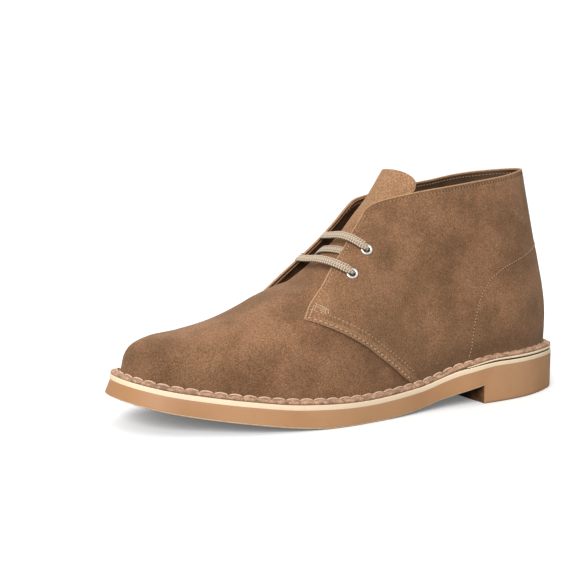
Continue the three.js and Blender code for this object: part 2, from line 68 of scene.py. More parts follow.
# The sole's outline seen from above, round from the toe by the outer side: x, y.
OUTLINE = [
    (7.8, -145.5), (21.9, -134), (32.5, -115), (45, -90), (52.5, -60), (54, -35), (49.5, 0),
    (43.5, 35), (43, 70), (38.5, 105), (28.5, 130), (17.5, 145), (1, 150), (-16.5, 145),
    (-29, 130), (-34, 105), (-31, 70), (-29.5, 35), (-35, 0), (-46.5, -35), (-52.3, -60),
    (-54, -80), (-50.5, -105), (-39.5, -130), (-27, -144), (-12.5, -150),
]
# Top of the midsole along the boot: y, z.
BED = [
    (-150, 28.6), (-120, 22.3), (-90, 18.2), (-60, 14.8), (-20, 13.2),
    (20, 15.5), (55, 22.7), (85, 26), (120, 26), (150, 25.7),
]
# Underside of the outsole in front of the heel: y, z.
TREAD = [
    (-150, 17.5), (-120, 10.2), (-90, 5.6), (-60, 1.5), (-40, 0),
    (-10, 0), (15, 1.6), (40, 6.1), (71, 11.5),
]
# What the seat of the upper rises by over the heel wedge: y, rise.
WEDGE_RISE = [(40, 0), (56, 0.8), (100, 1.6), (150, 2.0)]
# Middle line of the last: y, x.
CENTRE = [(-150, -12), (-110, -8), (-60, -4), (-10, 0), (150, 1)]
# Instep line of the last, up the toe and back past the collar: y, z.
INSTEP = [
    (-143.2, 36), (-138.5, 44), (-127, 49.2), (-108, 52), (-85, 57.8), (-60, 69.5),
    (-35, 86), (-10, 108), (3, 122), (9.5, 129.5), (17, 140), (26, 160), (36, 195), (46, 260),
]
# Back of the last, from the heel seat to the collar: y, z.
BACK = [(143.5, 36), (143.7, 50), (142.1, 65), (138, 85), (132, 110), (124.7, 145)]
# Half width of the shaft: z, half width.
SHAFT = [(30, 34), (60, 33), (85, 31), (110, 30.8), (145, 28.8)]
# How round each cross-section is: y, exponent of the height, root of the width.
ROUND = [(-150, 2.3, 2.2), (-100, 2.3, 2.1), (-50, 2.1, 2.25), (0, 2.2, 2.15), (150, 2, 2)]
COLLAR_FRONT_Y = 8.3
COLLAR_RISE = 1.3
HEEL_ROUND = 48.0

# Front edge of a quarter on the form: height share v, run share u (0 toe, 1 heel).
LOWER_EDGE = [
    (0, 0.575), (0.06, 0.535), (0.14, 0.47), (0.24, 0.388), (0.32, 0.308), (0.375, 0.236),
    (0.405, 0.188),
]
FACING_EDGE = [
    (0.405, 0.188), (0.49, 0.155), (0.6, 0.129), (0.68, 0.108), (0.775, 0.092), (0.86, 0.077),
    (0.92, 0.068),
]
# From the top of the facing back along the collar: run share u, height share v.
COLLAR_EDGE = [
    (0.068, 0.92), (0.075, 0.94), (0.095, 0.96), (0.13, 0.971), (0.21, 0.981), (0.33, 0.987),
    (0.5, 0.985), (0.7, 0.986), (0.88, 0.996), (1, 1),
]
CORNER_V = LOWER_EDGE[-1][0]
MEDIAL_FACING = 0.8  # the inner facing runs nearer to the instep line

# The counter's stitch line on each side, up from the feather line to the back: u, v.
COUNTER_LINE = [
    (0.704, 0.03), (0.708, 0.067), (0.704, 0.125), (0.697, 0.2), (0.692, 0.3), (0.697, 0.39),
    (0.717, 0.45), (0.75, 0.492), (0.787, 0.517), (0.833, 0.537), (0.879, 0.558), (0.94, 0.58),
    (1, 0.588),
]

# Eyelets: name, side, v, arc across the boot from the instep line.
EYELETS = [
    ("eyelet_outer_low", 1, 0.637, 43.5),
    ("eyelet_outer_top", 1, 0.746, 36),
    ("eyelet_inner_low", -1, 0.637, 38),
    ("eyelet_inner_top", -1, 0.746, 31.5),
]

# The tongue under the facings: v, half width as an arc.
TONGUE_ROWS = [
    (0.44, 47), (0.5, 46), (0.58, 41), (0.68, 35), (0.78, 31.5), (0.88, 30), (1, 30),
]
# Past the collar: run, half width as an arc on the outer side, the same on the inner side.
TONGUE_TIP = [
    (0, 33.5, 30), (5, 31.6, 29.3), (10, 27.4, 26.4), (14, 22.4, 22.4), (17.5, 16.8, 17.6),
    (20, 11.4, 12), (21.3, 7, 6.5), (21.8, 3, 1.5),
]
TONGUE_WIDER = 3.5  # how much wider the outer side is at the collar
TONGUE_LEAN = np.array((0, 0.56, 0.83))
TIP_FLAT_RUN = 22  # past the collar, where the tongue's wave has died out
# Depth of the tongue's face under the last, which makes room for the lace: v, depth.
TONGUE_SINK = [(0.42, 0), (0.5, 2.3), (0.6, 4.2), (0.8, 4.2), (0.94, 2.8), (1, 2.8)]
# How much less it sinks between the facings, in front of the lace: v, height.
TONGUE_CROWN = [(0.42, 0), (0.46, 1.3), (0.5, 2.5), (0.55, 2.8), (0.59, 1.9), (0.63, 0), (1, 0)]

# How far up the painted shade reaches from the sole: run share u, height share v.
PAINTED_SHADE_REACH = [(0, 0.24), (0.22, 0.14), (0.34, 0.05), (0.5, 0.05), (0.7, 0.17), (1, 0.17)]
MEDIAL_SPRING = 2.6  # how far the inner facing springs away from the tongue

PRESS = 0.3  # how deep a row of stitches pulls the suede in
STITCH_PITCH = 2.3
TWIST = 5.0  # of the thread's plies, in radians a millimetre
ROW_IN = 2.4  # from the facing's and the collar's edge in to their row
LOWER_ROWS_IN = (1.7, 6.9)
FLANGE_STITCH_REACH = 2.7  # from the feather line out to the sole's stitches
FLANGE_PITCH = 8.0

EYELET_HOLE = 2.3  # radius of the punched hole
LACE_WIDTH = 5.4
LACE_THICK = 1.4
WEAVE_PITCH = 1.6
WEAVE_RELIEF = 0.32
WEAVE_ROWS = 4


# Curves and tables ----------------------------------------------------------------------------

def smooth_step(a, b, x):
    t = np.clip((np.asarray(x, float) - a) / (b - a), 0, 1)
    return t * t * (3 - 2 * t)


def table(rows, column=1, key=0):
    """A monotone cubic through the rows of a table, held flat past both ends."""
    x = np.array([row[key] for row in rows], float)
    y = np.array([row[column] for row in rows], float)
    step = np.diff(x)
    slope = np.diff(y) / step
    tangent = np.zeros_like(x)
    tangent[0], tangent[-1] = slope[0], slope[-1]
    for i in range(1, len(x) - 1):
        if slope[i - 1] * slope[i] > 0:
            before = 2 * step[i] + step[i - 1]
            after = step[i] + 2 * step[i - 1]
            tangent[i] = (before + after) / (before / slope[i - 1] + after / slope[i])

    def value(at):
        p = np.clip(np.asarray(at, float), x[0], x[-1])
        i = np.clip(np.searchsorted(x, p, side="right") - 1, 0, len(step) - 1)
        t = (p - x[i]) / step[i]
        s = 1 - t
        return (
            (1 + 2 * t) * s * s * y[i] + t * s * s * step[i] * tangent[i]
            + t * t * (3 - 2 * t) * y[i + 1] - t * t * s * step[i] * tangent[i + 1]
        )

    return value


def curve(points, closed, count):
    """Points of a centripetal Catmull-Rom curve through a list of points of any dimension."""
    p = np.array(points, float)
    size = len(p)
    spans = size if closed else size - 1
    share = np.linspace(0, spans, count, endpoint=not closed)
    i = np.minimum(np.floor(share).astype(int), spans - 1)
    t = (share - i)[:, None]
    if closed:
        p0, p1, p2, p3 = (p[(i + k) % size] for k in (-1, 0, 1, 2))
    else:
        padded = np.vstack([2 * p[0] - p[1], p, 2 * p[-1] - p[-2]])
        p0, p1, p2, p3 = (padded[i + k] for k in (0, 1, 2, 3))

    def knot(a, b):
        return np.maximum(np.linalg.norm(b - a, axis=1) ** 0.5, 1e-4)[:, None]

    d0, d1, d2 = knot(p0, p1), knot(p1, p2), knot(p2, p3)
    t1 = ((p1 - p0) / d0 - (p2 - p0) / (d0 + d1) + (p2 - p1) / d1) * d1
    t2 = ((p2 - p1) / d1 - (p3 - p1) / (d1 + d2) + (p3 - p2) / d2) * d1
    return (
        p1 + t1 * t + (-3 * p1 + 3 * p2 - 2 * t1 - t2) * t * t
        + (2 * p1 - 2 * p2 + t1 + t2) * t ** 3
    )


def look_up(points, key, value):
    """Linear look-up of one column by another."""
    order = np.argsort(points[:, key], kind="stable")
    return lambda at: np.interp(at, points[order, key], points[order, value])


def run_of(points):
    """Distance along a list of points."""
    return np.r_[0, np.cumsum(np.linalg.norm(np.diff(points, axis=0), axis=1))]


def walk(points, column):
    """One column of a list of points by share of its length."""
    run = run_of(points)
    return lambda share: np.interp(np.asarray(share) * run[-1], run, points[:, column])


def grow(points, distance):
    """A closed plan outline grown outwards."""
    ahead = np.roll(points, -1, 0) - np.roll(points, 1, 0)
    ahead /= np.linalg.norm(ahead, axis=1)[:, None]
    return points + np.stack([ahead[:, 1], -ahead[:, 0]], -1) * distance


def sides(points):
    """Both sides of a closed outline, outer and inner, each from the toe to the heel."""
    points = np.roll(points, -points[:, 1].argmin(), 0)
    heel = points[:, 1].argmax()
    return points[: heel + 1], np.vstack([points[heel:], points[:1]])[::-1]


def unit(vectors):
    return vectors / np.maximum(np.linalg.norm(vectors, axis=-1, keepdims=True), 1e-9)


outline = curve(OUTLINE, True, 2400)
outline_outer, outline_inner = sides(outline)
feather_outer, feather_inner = sides(grow(outline, -FLANGE))
bed = table(BED)
tread = table(TREAD)
wedge_rise = table(WEDGE_RISE)
centre = table(CENTRE)
shaft = table(SHAFT)
height_power = table(ROUND, 1)
width_root = table(ROUND, 2)


def seat(y):
    """Height of the upper's seat on the sole."""
    return bed(y) + GAP + wedge_rise(y)


# The last -------------------------------------------------------------------------------------

TOE_Y = feather_outer[0, 1]
HEEL_Y = feather_outer[-1, 1]
SEAT_TOE = float(seat(TOE_Y))
SEAT_HEEL = float(seat(HEEL_Y))
back_line = curve([(HEEL_Y, SEAT_HEEL)] + BACK, False, 1600)
instep_line = curve([(TOE_Y, SEAT_TOE)] + INSTEP, False, 3200)
toe_tip = instep_line[:, 0].argmin()
collar_front = toe_tip + np.argmax(instep_line[toe_tip:, 0] > COLLAR_FRONT_Y)
front_line = instep_line[: collar_front + 1]
front_y, front_z = walk(front_line, 0), walk(front_line, 1)
rear_y, rear_z = walk(back_line, 0), walk(back_line, 1)
crest_height = look_up(instep_line[toe_tip:], 0, 1)
back_y = look_up(back_line, 1, 0)
outer_feather_y, inner_feather_y = walk(feather_outer, 1), walk(feather_inner, 1)
outer_feather_x, inner_feather_x = look_up(feather_outer, 1, 0), look_up(feather_inner, 1, 0)


def side_x(y, z, outer):
    """The last's x at a place in side view, on the outer or the inner side."""
    rear = smooth_step(-20, 140, y)
    seat_y = np.clip(y + (HEEL_Y - back_y(z)) * rear / np.maximum(rear, 0.2), TOE_Y, HEEL_Y)
    up = smooth_step(-30, 45, y) * smooth_step(0, 60, z - seat(y))
    depth = np.clip(back_y(z) - y, 0, HEEL_ROUND) / HEEL_ROUND
    rounded = np.sqrt(np.maximum(0, 1 - (1 - depth) ** 2))
    edge = np.where(outer, outer_feather_x(seat_y), inner_feather_x(seat_y))
    across = (1 - up) * np.abs(edge - centre(seat_y)) + up * shaft(z) * rounded
    rise = np.clip((z - seat(y)) / np.maximum(crest_height(y) - seat(y), 1e-3), 0, 1)
    crown = np.maximum(0, 1 - rise ** height_power(y)) ** (1 / width_root(y))
    return centre(y) * (1 - up) + np.where(outer, 1, -1) * across * crown


def run_share(w):
    """The run share u of a place, and whether it lies on the outer side."""
    turn = np.mod(w, 2)
    outer = turn <= 1
    return np.where(outer, turn, 2 - turn), outer


def form_point(w, v):
    w, v = np.broadcast_arrays(np.asarray(w, float), np.asarray(v, float))
    u, outer = run_share(w)
    y0 = np.where(outer, outer_feather_y(u), inner_feather_y(u))
    ahead = (y0 - HEEL_Y) / (TOE_Y - HEEL_Y)
    y = rear_y(v) + (front_y(v) - rear_y(v)) * ahead
    straight = SEAT_HEEL + (SEAT_TOE - SEAT_HEEL) * ahead
    bow = v * COLLAR_RISE * 4 * ahead * (1 - ahead)
    z = rear_z(v) + (front_z(v) - rear_z(v)) * ahead + (1 - v) ** 2 * (seat(y0) - straight) + bow
    return np.stack([side_x(y, z, outer), y, z], -1)


def form_normal(w, v):
    step = 0.006
    along = form_point(w + step, v) - form_point(w - step, v)
    up = form_point(w, np.minimum(1, v + step)) - form_point(w, np.maximum(0, v - step))
    return unit(np.cross(along, up))


def off_form(w, v, distance):
    w, v = np.broadcast_arrays(np.asarray(w, float), np.asarray(v, float))
    return form_point(w, v) + form_normal(w, v) * np.asarray(distance)[..., None]


ARC_SHARES = np.linspace(0, 1, 501)


def arcs_at(v, side):
    """Arc lengths across the boot from the instep line, at each of ARC_SHARES."""
    return run_of(form_point(side * ARC_SHARES, np.full_like(ARC_SHARES, v)))


def arc_to_w(v, side, arc):
    return side * np.interp(arc, arcs_at(v, side), ARC_SHARES)


lower_edge = table(LOWER_EDGE)
facing_edge = table(FACING_EDGE)
collar_edge = table(COLLAR_EDGE)


def inner_share(v):
    """How much nearer to the toe and instep the inner quarter's front edge runs."""
    return 1 + (MEDIAL_FACING - 1) * smooth_step(0, CORNER_V, v)


def quarter_front(v, side):
    """The run share of a quarter's front edge, below the collar."""
    u = np.where(v < CORNER_V, lower_edge(v), facing_edge(v))
    return u * (inner_share(v) if side < 0 else 1)


# Meshes ---------------------------------------------------------------------------------------

def add_mesh(name, points, faces, materials, slots=None, smooth=True):
    """A piece from points in millimetres; slots holds each face's material number."""
    mesh = bpy.data.meshes.new(name)
    world = (np.asarray(points, float).reshape(-1, 3) + (0, SHIFT_Y, 0)) * MM
    mesh.from_pydata(world.tolist(), [], faces)
    for material in materials:
        mesh.materials.append(material)
    if slots is not None:
        mesh.polygons.foreach_set("material_index", np.asarray(slots, np.int32))
    if smooth:
        mesh.polygons.foreach_set("use_smooth", np.ones(len(mesh.polygons), bool))
    mesh.update()
    piece = bpy.data.objects.new(name, mesh)
    bpy.context.scene.collection.objects.link(piece)
    return piece


def settle(piece, slot, *nodes):
    """Every piece rides on the one body; nodes are the CAD nodes it stands for."""
    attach(piece, "root")
    if nodes:
        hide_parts(*nodes)
    return piece


def mark(piece, name, values, rest=0.0):
    """Gives the points of a piece a number each; those past the values get the rest's."""
    numbers = np.full(len(piece.data.vertices), rest, np.float32)
    numbers[: values.size] = values.ravel()
    piece.data.attributes.new(name, "FLOAT", "POINT").data.foreach_set("value", numbers)


def keep_sharp(piece, degrees=35):
    """Smooth shading, apart from edges that turn by more than this."""
    piece.data.set_sharp_from_angle(angle=math.radians(degrees))
    return piece


def grid_quads(index, ring, flip=False):
    """Quads between the neighbours of a grid of vertex numbers."""
    a = index[:-1, :] if ring else index[:-1, :-1]
    b = np.roll(index, -1, 1)[:-1, :] if ring else index[:-1, 1:]
    c = np.roll(index, -1, 1)[1:, :] if ring else index[1:, 1:]
    d = index[1:, :] if ring else index[1:, :-1]
    quads = np.stack([a, b, c, d], -1).reshape(-1, 4)
    return quads[:, ::-1] if flip else quads


def border(rows, columns):
    """Rows and columns of the places round a grid, and of the places next to them inside."""
    top = rows - 1
    last = columns - 1
    loop = [(0, c) for c in range(last)] + [(r, last) for r in range(top)]
    loop += [(top, c) for c in range(last, 0, -1)] + [(r, 0) for r in range(top, 0, -1)]
    edge = np.array(loop).T
    return tuple(edge), tuple(np.clip(edge, 1, [[top - 1], [last - 1]]))


RIM_TURNS = np.radians((35, 70, 110, 145))


def sheet(name, outside, inside, bulge, materials, raw=None):
    """A closed sheet between two grids of points, with a rounded rim in its last material;
    raw marks the places where the face next to the rim has the rim's material too, and the
    rim away from them keeps the face's material."""
    rows, columns = outside.shape[:2]
    count = rows * columns
    points = [outside.reshape(-1, 3), inside.reshape(-1, 3)]
    outer = np.arange(count).reshape(rows, columns)
    inner = outer + count
    edge, near = border(rows, columns)
    middle = (outside[edge] + inside[edge]) / 2
    half = (outside[edge] - inside[edge]) / 2
    out = unit(middle - (outside[near] + inside[near]) / 2)
    ladder = [outer[edge]]
    for step, turn in enumerate(RIM_TURNS):
        points.append(middle + half * math.cos(turn) + out * bulge * math.sin(turn))
        ladder.append(2 * count + step * len(middle) + np.arange(len(middle)))
    ladder.append(inner[edge])
    face = grid_quads(outer, False)
    rim = grid_quads(np.array(ladder), True, flip=True)
    quads = np.vstack([face, grid_quads(inner, False, flip=True), rim])
    slots = np.zeros(len(quads), int)
    rim_slot = len(materials) - 1
    if raw is None:
        slots[-len(rim):] = rim_slot
    else:
        slots[-len(rim):] = np.tile(raw[edge], len(ladder) - 1) * rim_slot
        at_rim = np.ones((rows - 1, columns - 1), bool)
        at_rim[:-1, 1:-1] = False
        slots[: len(face)] = (at_rim & raw[:-1, :-1]).ravel() * rim_slot
    return add_mesh(name, np.vstack(points), quads.tolist(), materials, slots)


def stitch_row(points, outwards, pitch, length, thick, proud, rings=7, around=8, twist=0.0):
    """Stitches along a line as points and faces: each rises out of the leather, runs over it
    and dives back in. twist turns the two plies of the thread, in radians a millimetre."""
    run = run_of(points)
    count = max(1, round(run[-1] / pitch))
    middle_run = (np.arange(count) + 0.5) * run[-1] / count
    share = np.linspace(-0.5, 0.5, rings)
    at = middle_run[:, None] + share * length
    over = np.stack([np.interp(at, run, points[:, k]) for k in range(3)], -1)
    out = unit(np.stack([np.interp(at, run, outwards[:, k]) for k in range(3)], -1))
    arch = (proud + thick) * np.cos(math.pi * share * 0.96) ** 0.6 - thick
    middle = over + out * arch[:, None]
    ahead = unit(np.gradient(middle, axis=1))
    across = unit(np.cross(ahead, out))
    lift = np.cross(across, ahead)
    radius = thick / 2 * (0.45 + 0.55 * np.sqrt(1 - (2 * share) ** 4))
    turn = np.arange(around) / around * 2 * math.pi
    ply = 1 + 0.14 * np.cos(2 * (turn - at[..., None] * twist)) * (twist > 0)
    size = (radius[:, None] * ply)[..., None]
    spokes = np.cos(turn)[:, None] * across[:, :, None] + np.sin(turn)[:, None] * lift[:, :, None]
    grid = middle[:, :, None] + spokes * size
    one = np.arange(rings * around).reshape(rings, around)
    quads = grid_quads(one, True)
    faces = []
    for k in range(count):
        base = k * rings * around
        faces += (quads + base).tolist()
        faces += [(one[0][::-1] + base).tolist(), (one[-1] + base).tolist()]
    return grid.reshape(-1, 3), faces


def join(parts):
    """Several lists of points and faces as one."""
    points, faces, total = [], [], 0
    for more_points, more_faces in parts:
        points.append(more_points)
        faces += [[corner + total for corner in face] for face in more_faces]
        total += len(more_points)
    return np.vstack(points), faces


# Materials ------------------------------------------------------------------------------------

class Paint:
    """A material's node tree, with short calls for the nodes that the finishes share."""

    def __init__(self, name, roughness, **inputs):
        self.material = bpy.data.materials.new(name)
        self.material.use_nodes = True
        self.nodes = self.material.node_tree.nodes
        self.links = self.material.node_tree.links
        self.shader = self.nodes["Principled BSDF"]
        self.set("Roughness", roughness)
        for key, value in inputs.items():
            self.set(key.replace("_", " ").title().replace("Ior", "IOR"), value)
        self.place = self.add("ShaderNodeTexCoord").outputs["Object"]
        self.height = None

    def set(self, socket, value):
        self.fill(self.shader.inputs[socket], value)

    def add(self, kind, **settings):
        node = self.nodes.new(kind)
        for key, value in settings.items():
            setattr(node, key, value)
        return node

    def fill(self, socket, value):
        if isinstance(value, bpy.types.NodeSocket):
            self.links.new(value, socket)
        else:
            socket.default_value = value

    def noise(self, size, detail=3.0, rough=0.55, stretch=None, shift=0.0):
        """Noise with features of about this size in millimetres; stretch scales x, y and z."""
        at = self.place
        if stretch or shift:
            move = self.add("ShaderNodeMapping")
            move.inputs["Scale"].default_value = stretch or (1, 1, 1)
            move.inputs["Location"].default_value = (shift, shift, shift)
            self.links.new(at, move.inputs["Vector"])
            at = move.outputs["Vector"]
        node = self.add("ShaderNodeTexNoise")
        node.inputs["Scale"].default_value = 1 / (size * MM)
        node.inputs["Detail"].default_value = detail
        node.inputs["Roughness"].default_value = rough
        self.links.new(at, node.inputs["Vector"])
        return node.outputs["Fac"]

    def cells(self, size, feature="F1"):
        node = self.add("ShaderNodeTexVoronoi", feature=feature)
        node.inputs["Scale"].default_value = 1 / (size * MM)
        self.links.new(self.place, node.inputs["Vector"])
        return node.outputs["Distance"]

    def axis(self, name):
        """One coordinate of the place, in metres."""
        node = self.add("ShaderNodeSeparateXYZ")
        self.links.new(self.place, node.inputs[0])
        return node.outputs[name]

    def value(self, name):
        """A number that each point of the mesh carries."""
        return self.add("ShaderNodeAttribute", attribute_name=name).outputs["Fac"]

    def ramp(self, fac, low, high, to_low=0.0, to_high=1.0):
        node = self.add("ShaderNodeMapRange", interpolation_type="SMOOTHSTEP")
        self.links.new(fac, node.inputs["Value"])
        numbers = (low, high, to_low, to_high)
        for key, number in zip(("From Min", "From Max", "To Min", "To Max"), numbers):
            node.inputs[key].default_value = number
        return node.outputs["Result"]

    def math(self, kind, a, b=0.5):
        node = self.add("ShaderNodeMath", operation=kind)
        self.fill(node.inputs[0], a)
        self.fill(node.inputs[1], b)
        return node.outputs[0]

    def mix(self, fac, a, b, kind="MIX"):
        """Colours a and b, each a socket or an sRGB triple, mixed by fac."""
        node = self.add("ShaderNodeMix", data_type="RGBA", blend_type=kind)
        self.fill(node.inputs["Factor"], fac)
        for socket, colour in ((node.inputs[6], a), (node.inputs[7], b)):
            self.fill(socket, linear(colour) if isinstance(colour, tuple) else colour)
        return node.outputs[2]

    def bump(self, height, depth):
        """Adds relief of about this depth in millimetres."""
        node = self.add("ShaderNodeBump")
        node.inputs["Distance"].default_value = depth * MM
        node.inputs["Strength"].default_value = 1.0
        self.links.new(height, node.inputs["Height"])
        if self.height:
            self.links.new(self.height, node.inputs["Normal"])
        self.height = node.outputs["Normal"]
        self.links.new(self.height, self.shader.inputs["Normal"])


def linear(colour):
    """An sRGB colour in 0..255 as the linear RGBA that the nodes take."""
    share = [c / 255 for c in colour]
    return tuple(
        c / 12.92 if c <= 0.04045 else ((c + 0.055) / 1.055) ** 2.4 for c in share
    ) + (1.0,)


def two_tone(name, roughness, noise, limits, low, high, relief=None, depth=0.0, **inputs):
    """A finish of two colours mixed by one noise, with relief from another. noise and relief
    are what Paint.noise takes, and limits are what Paint.ramp takes."""
    p = Paint(name, roughness, **inputs)
    p.set("Base Color", p.mix(p.ramp(p.noise(*noise), *limits), low, high))
    if relief:
        p.bump(p.noise(*relief), depth)
    return p.material


# A pale colour: painted light on the tongue, and paler suede low on the quarters.
PALE_AND_PAINTED_LIGHT = (178, 138, 102)
# Dark brown of the painted shade along the sole and towards the heel.
PAINTED_SHADE_COLOUR = (62, 47, 32)


def suede(name, light, dark, warm, cloud=30):
    """Brushed suede: soft clouds where the nap lies differently, over a short fibre grain;
    a number on the points paints shade on it along the sole and towards the heel, and
    another paints light on the tongue and makes the quarters paler low along their front."""
    p = Paint(name, 0.95, sheen_weight=0.25, sheen_roughness=0.5, specular_ior_level=0.12)
    p.set("Sheen Tint", linear((235, 205, 175)))
    clouds = p.ramp(p.noise(cloud, 4.0, 0.62), 0.36, 0.64)
    colour = p.mix(clouds, dark, light)
    colour = p.mix(p.value("pale_and_painted_light"), colour, PALE_AND_PAINTED_LIGHT)
    blush = p.ramp(p.noise(15, 2.0, 0.5, shift=0.37), 0.5, 0.78)
    colour = p.mix(p.math("MULTIPLY", blush, 0.4), colour, warm)
    grain = p.ramp(p.noise(0.75, 2.0, 0.7), 0.3, 0.7, 0.64, 1.38)
    fibre = p.ramp(p.noise(0.4, 1.0, 0.5, stretch=(1, 1, 0.45)), 0.3, 0.7, 0.8, 1.2)
    grey = p.add("ShaderNodeCombineColor")
    tone = p.math("MULTIPLY", grain, fibre)
    for channel in ("Red", "Green", "Blue"):
        p.links.new(tone, grey.inputs[channel])
    colour = p.mix(1.0, colour, grey.outputs[0], "MULTIPLY")
    colour = p.mix(p.value("painted_shade"), colour, PAINTED_SHADE_COLOUR)
    p.set("Base Color", colour)
    p.bump(p.noise(6, 3.0, 0.6), 0.25)
    p.bump(p.noise(0.8, 3.0, 0.7), 0.22)
    return p.material


def suede_edge():
    """The cut edge of the suede, paler than its face."""
    return two_tone(
        "suede_edge", 0.95, (0.5, 3.0, 0.7), (0.3, 0.7), (158, 120, 90), (204, 164, 128),
        relief=(0.4, 3.0, 0.7), depth=0.2, specular_ior_level=0.1,
    )


def lining_leather():
    p = Paint("lining_leather", 0.55, specular_ior_level=0.35)
    clouds = p.ramp(p.noise(22, 3.0, 0.6), 0.35, 0.65)
    colour = p.mix(clouds, (68, 49, 33), (88, 64, 43))
    pores = p.ramp(p.cells(0.7), 0.0, 0.28)
    colour = p.mix(p.math("SUBTRACT", 1.0, pores), colour, (52, 37, 26))
    p.set("Base Color", colour)
    p.bump(p.noise(1.2, 4.0, 0.6), 0.12)
    p.bump(pores, 0.06)
    return p.material


def leather_edge():
    """The lining's cut edge."""
    return two_tone(
        "leather_edge", 0.8, (0.6,), (0.35, 0.65), (112, 82, 58), (150, 114, 84),
        specular_ior_level=0.2,
    )


def gum_rubber():
    p = Paint("gum_rubber", 0.5, specular_ior_level=0.4)
    clouds = p.ramp(p.noise(34, 2.0, 0.5), 0.3, 0.7)
    colour = p.mix(clouds, (192, 142, 98), (202, 154, 112))
    smudge = p.ramp(p.noise(4, 4.0, 0.65), 0.52, 0.8, 0, 0.3)
    colour = p.mix(smudge, colour, (178, 130, 90))
    toe = p.ramp(p.axis("Y"), -0.06, -0.13, 0.0, 0.6)
    p.set("Base Color", p.mix(toe, colour, (166, 118, 78)))
    p.bump(p.noise(0.7, 3.0, 0.6), 0.05)
    return p.material


def lip_highlight():
    """A painted highlight along the eased bottom edge of the sole."""
    return two_tone(
        "lip_highlight", 0.5, (3, 4.0, 0.6), (0.35, 0.65), (226, 190, 150), (244, 216, 182),
        specular_ior_level=0.4,
    )


def shaded_tread():
    """The underside, darkened with painted shade, with a mottled finish."""
    return two_tone(
        "shaded_tread", 0.8, (9, 5.0, 0.65), (0.35, 0.7), (92, 62, 42), (132, 94, 64),
        relief=(0.7, 3.0, 0.6), depth=0.08, specular_ior_level=0.2,
    )


def cream_rubber():
    return two_tone(
        "cream_rubber", 0.55, (5, 4.0, 0.65), (0.5, 0.8, 0, 0.5), (255, 231, 198),
        (246, 209, 168), relief=(0.8, 3.0, 0.6), depth=0.05, specular_ior_level=0.35,
    )


# A dark brown for the wedge's joint, also used as painted shade in the needle holes and the
# eyelets' bores.
def dark_joint_and_shade():
    p = Paint("dark_joint_and_shade", 0.8)
    p.set("Base Color", p.mix(p.noise(3), (44, 31, 23), (62, 45, 33)))
    return p.material


def thread_finish(name, light, dark):
    """Twisted thread: fine slanting plies."""
    p = Paint(name, 0.75, sheen_weight=0.2)
    plies = p.ramp(p.noise(0.35, 2.0, 0.6), 0.35, 0.65)
    p.set("Base Color", p.mix(plies, dark, light))
    p.bump(plies, 0.06)
    return p.material


def lace_finish():
    """Woven cotton: the mesh carries the weave's relief, and its hollows are painted darker as
    painted shade.
    """
    p = Paint("lace", 0.9, sheen_weight=0.2)
    # painted shade in the weave's hollows, from the mesh's relief
    weave_shade = p.ramp(p.value("weave"), 0.25, 0.8)
    colour = p.mix(weave_shade, (62, 52, 38), (209, 187, 161))
    fuzz = p.ramp(p.noise(0.3, 3.0, 0.7), 0.3, 0.7, 0, 0.2)
    p.set("Base Color", p.mix(fuzz, colour, (166, 147, 122)))
    p.bump(p.noise(0.25, 3.0, 0.7), 0.06)
    return p.material


def eyelet_metal():
    return two_tone(
        "eyelet_metal", 0.38, (1.2, 3.0, 0.6), (0.35, 0.7), (226, 224, 218), (246, 245, 241),
        relief=(0.6, 2.0, 0.5), depth=0.02, metallic=0.7,
    )


def stage_white():
    """White as the camera sees it, but a darker card to the light that bounces off it."""
    p = Paint("stage_white", 0.9, specular_ior_level=0.0)
    p.set("Base Color", (0.93, 0.93, 0.93, 1))
    p.set("Emission Color", (1, 1, 1, 1))
    p.set("Emission Strength", 0.14)
    card = p.add("ShaderNodeBsdfDiffuse")
    card.inputs["Color"].default_value = (0.24, 0.24, 0.24, 1)
    path = p.add("ShaderNodeLightPath")
    choose = p.add("ShaderNodeMixShader")
    p.links.new(path.outputs["Is Camera Ray"], choose.inputs[0])
    p.links.new(card.outputs[0], choose.inputs[1])
    p.links.new(p.shader.outputs[0], choose.inputs[2])
    p.links.new(choose.outputs[0], p.nodes["Material Output"].inputs["Surface"])
    return p.material


SUEDE = suede("suede", (146, 108, 79), (119, 87, 62), (152, 106, 79))
FLANGE_SUEDE = suede("suede_flange", (198, 158, 130), (142, 110, 88), (198, 152, 126), cloud=3.5)
SUEDE_EDGE = suede_edge()
LEATHER = lining_leather()
LEATHER_EDGE = leather_edge()
RUBBER = gum_rubber()
LIP_HIGHLIGHT = lip_highlight()
TREAD_SHADE = shaded_tread()
CREAM = cream_rubber()
JOINT_AND_SHADE = dark_joint_and_shade()
THREAD = thread_finish("thread", (206, 172, 136), (174, 138, 104))
TAN_THREAD = thread_finish("tan_thread", (178, 140, 106), (142, 110, 82))
SOLE_THREAD = thread_finish("sole_thread", (240, 212, 184), (214, 182, 152))
LACE = lace_finish()
METAL = eyelet_metal()


# Camera, light and floor ----------------------------------------------------------------------

CAMERA = {
    "azimuth": 59.358, "distance": 606.226, "height": 140.489,
    "yaw": 3.611, "pitch": 6.632, "roll": 0.081, "focal_px": 987.394,
}
FRAME_PX = 580
SENSOR = 36.0
FLOOR_HALF = 20000.0
# Suns: name, strength, softness, azimuth, elevation.
SUNS = [("key", 2.75, 35, 42, 32), ("top", 0.5, 60, -50, 62), ("back", 0.9, 60, -112, 22)]


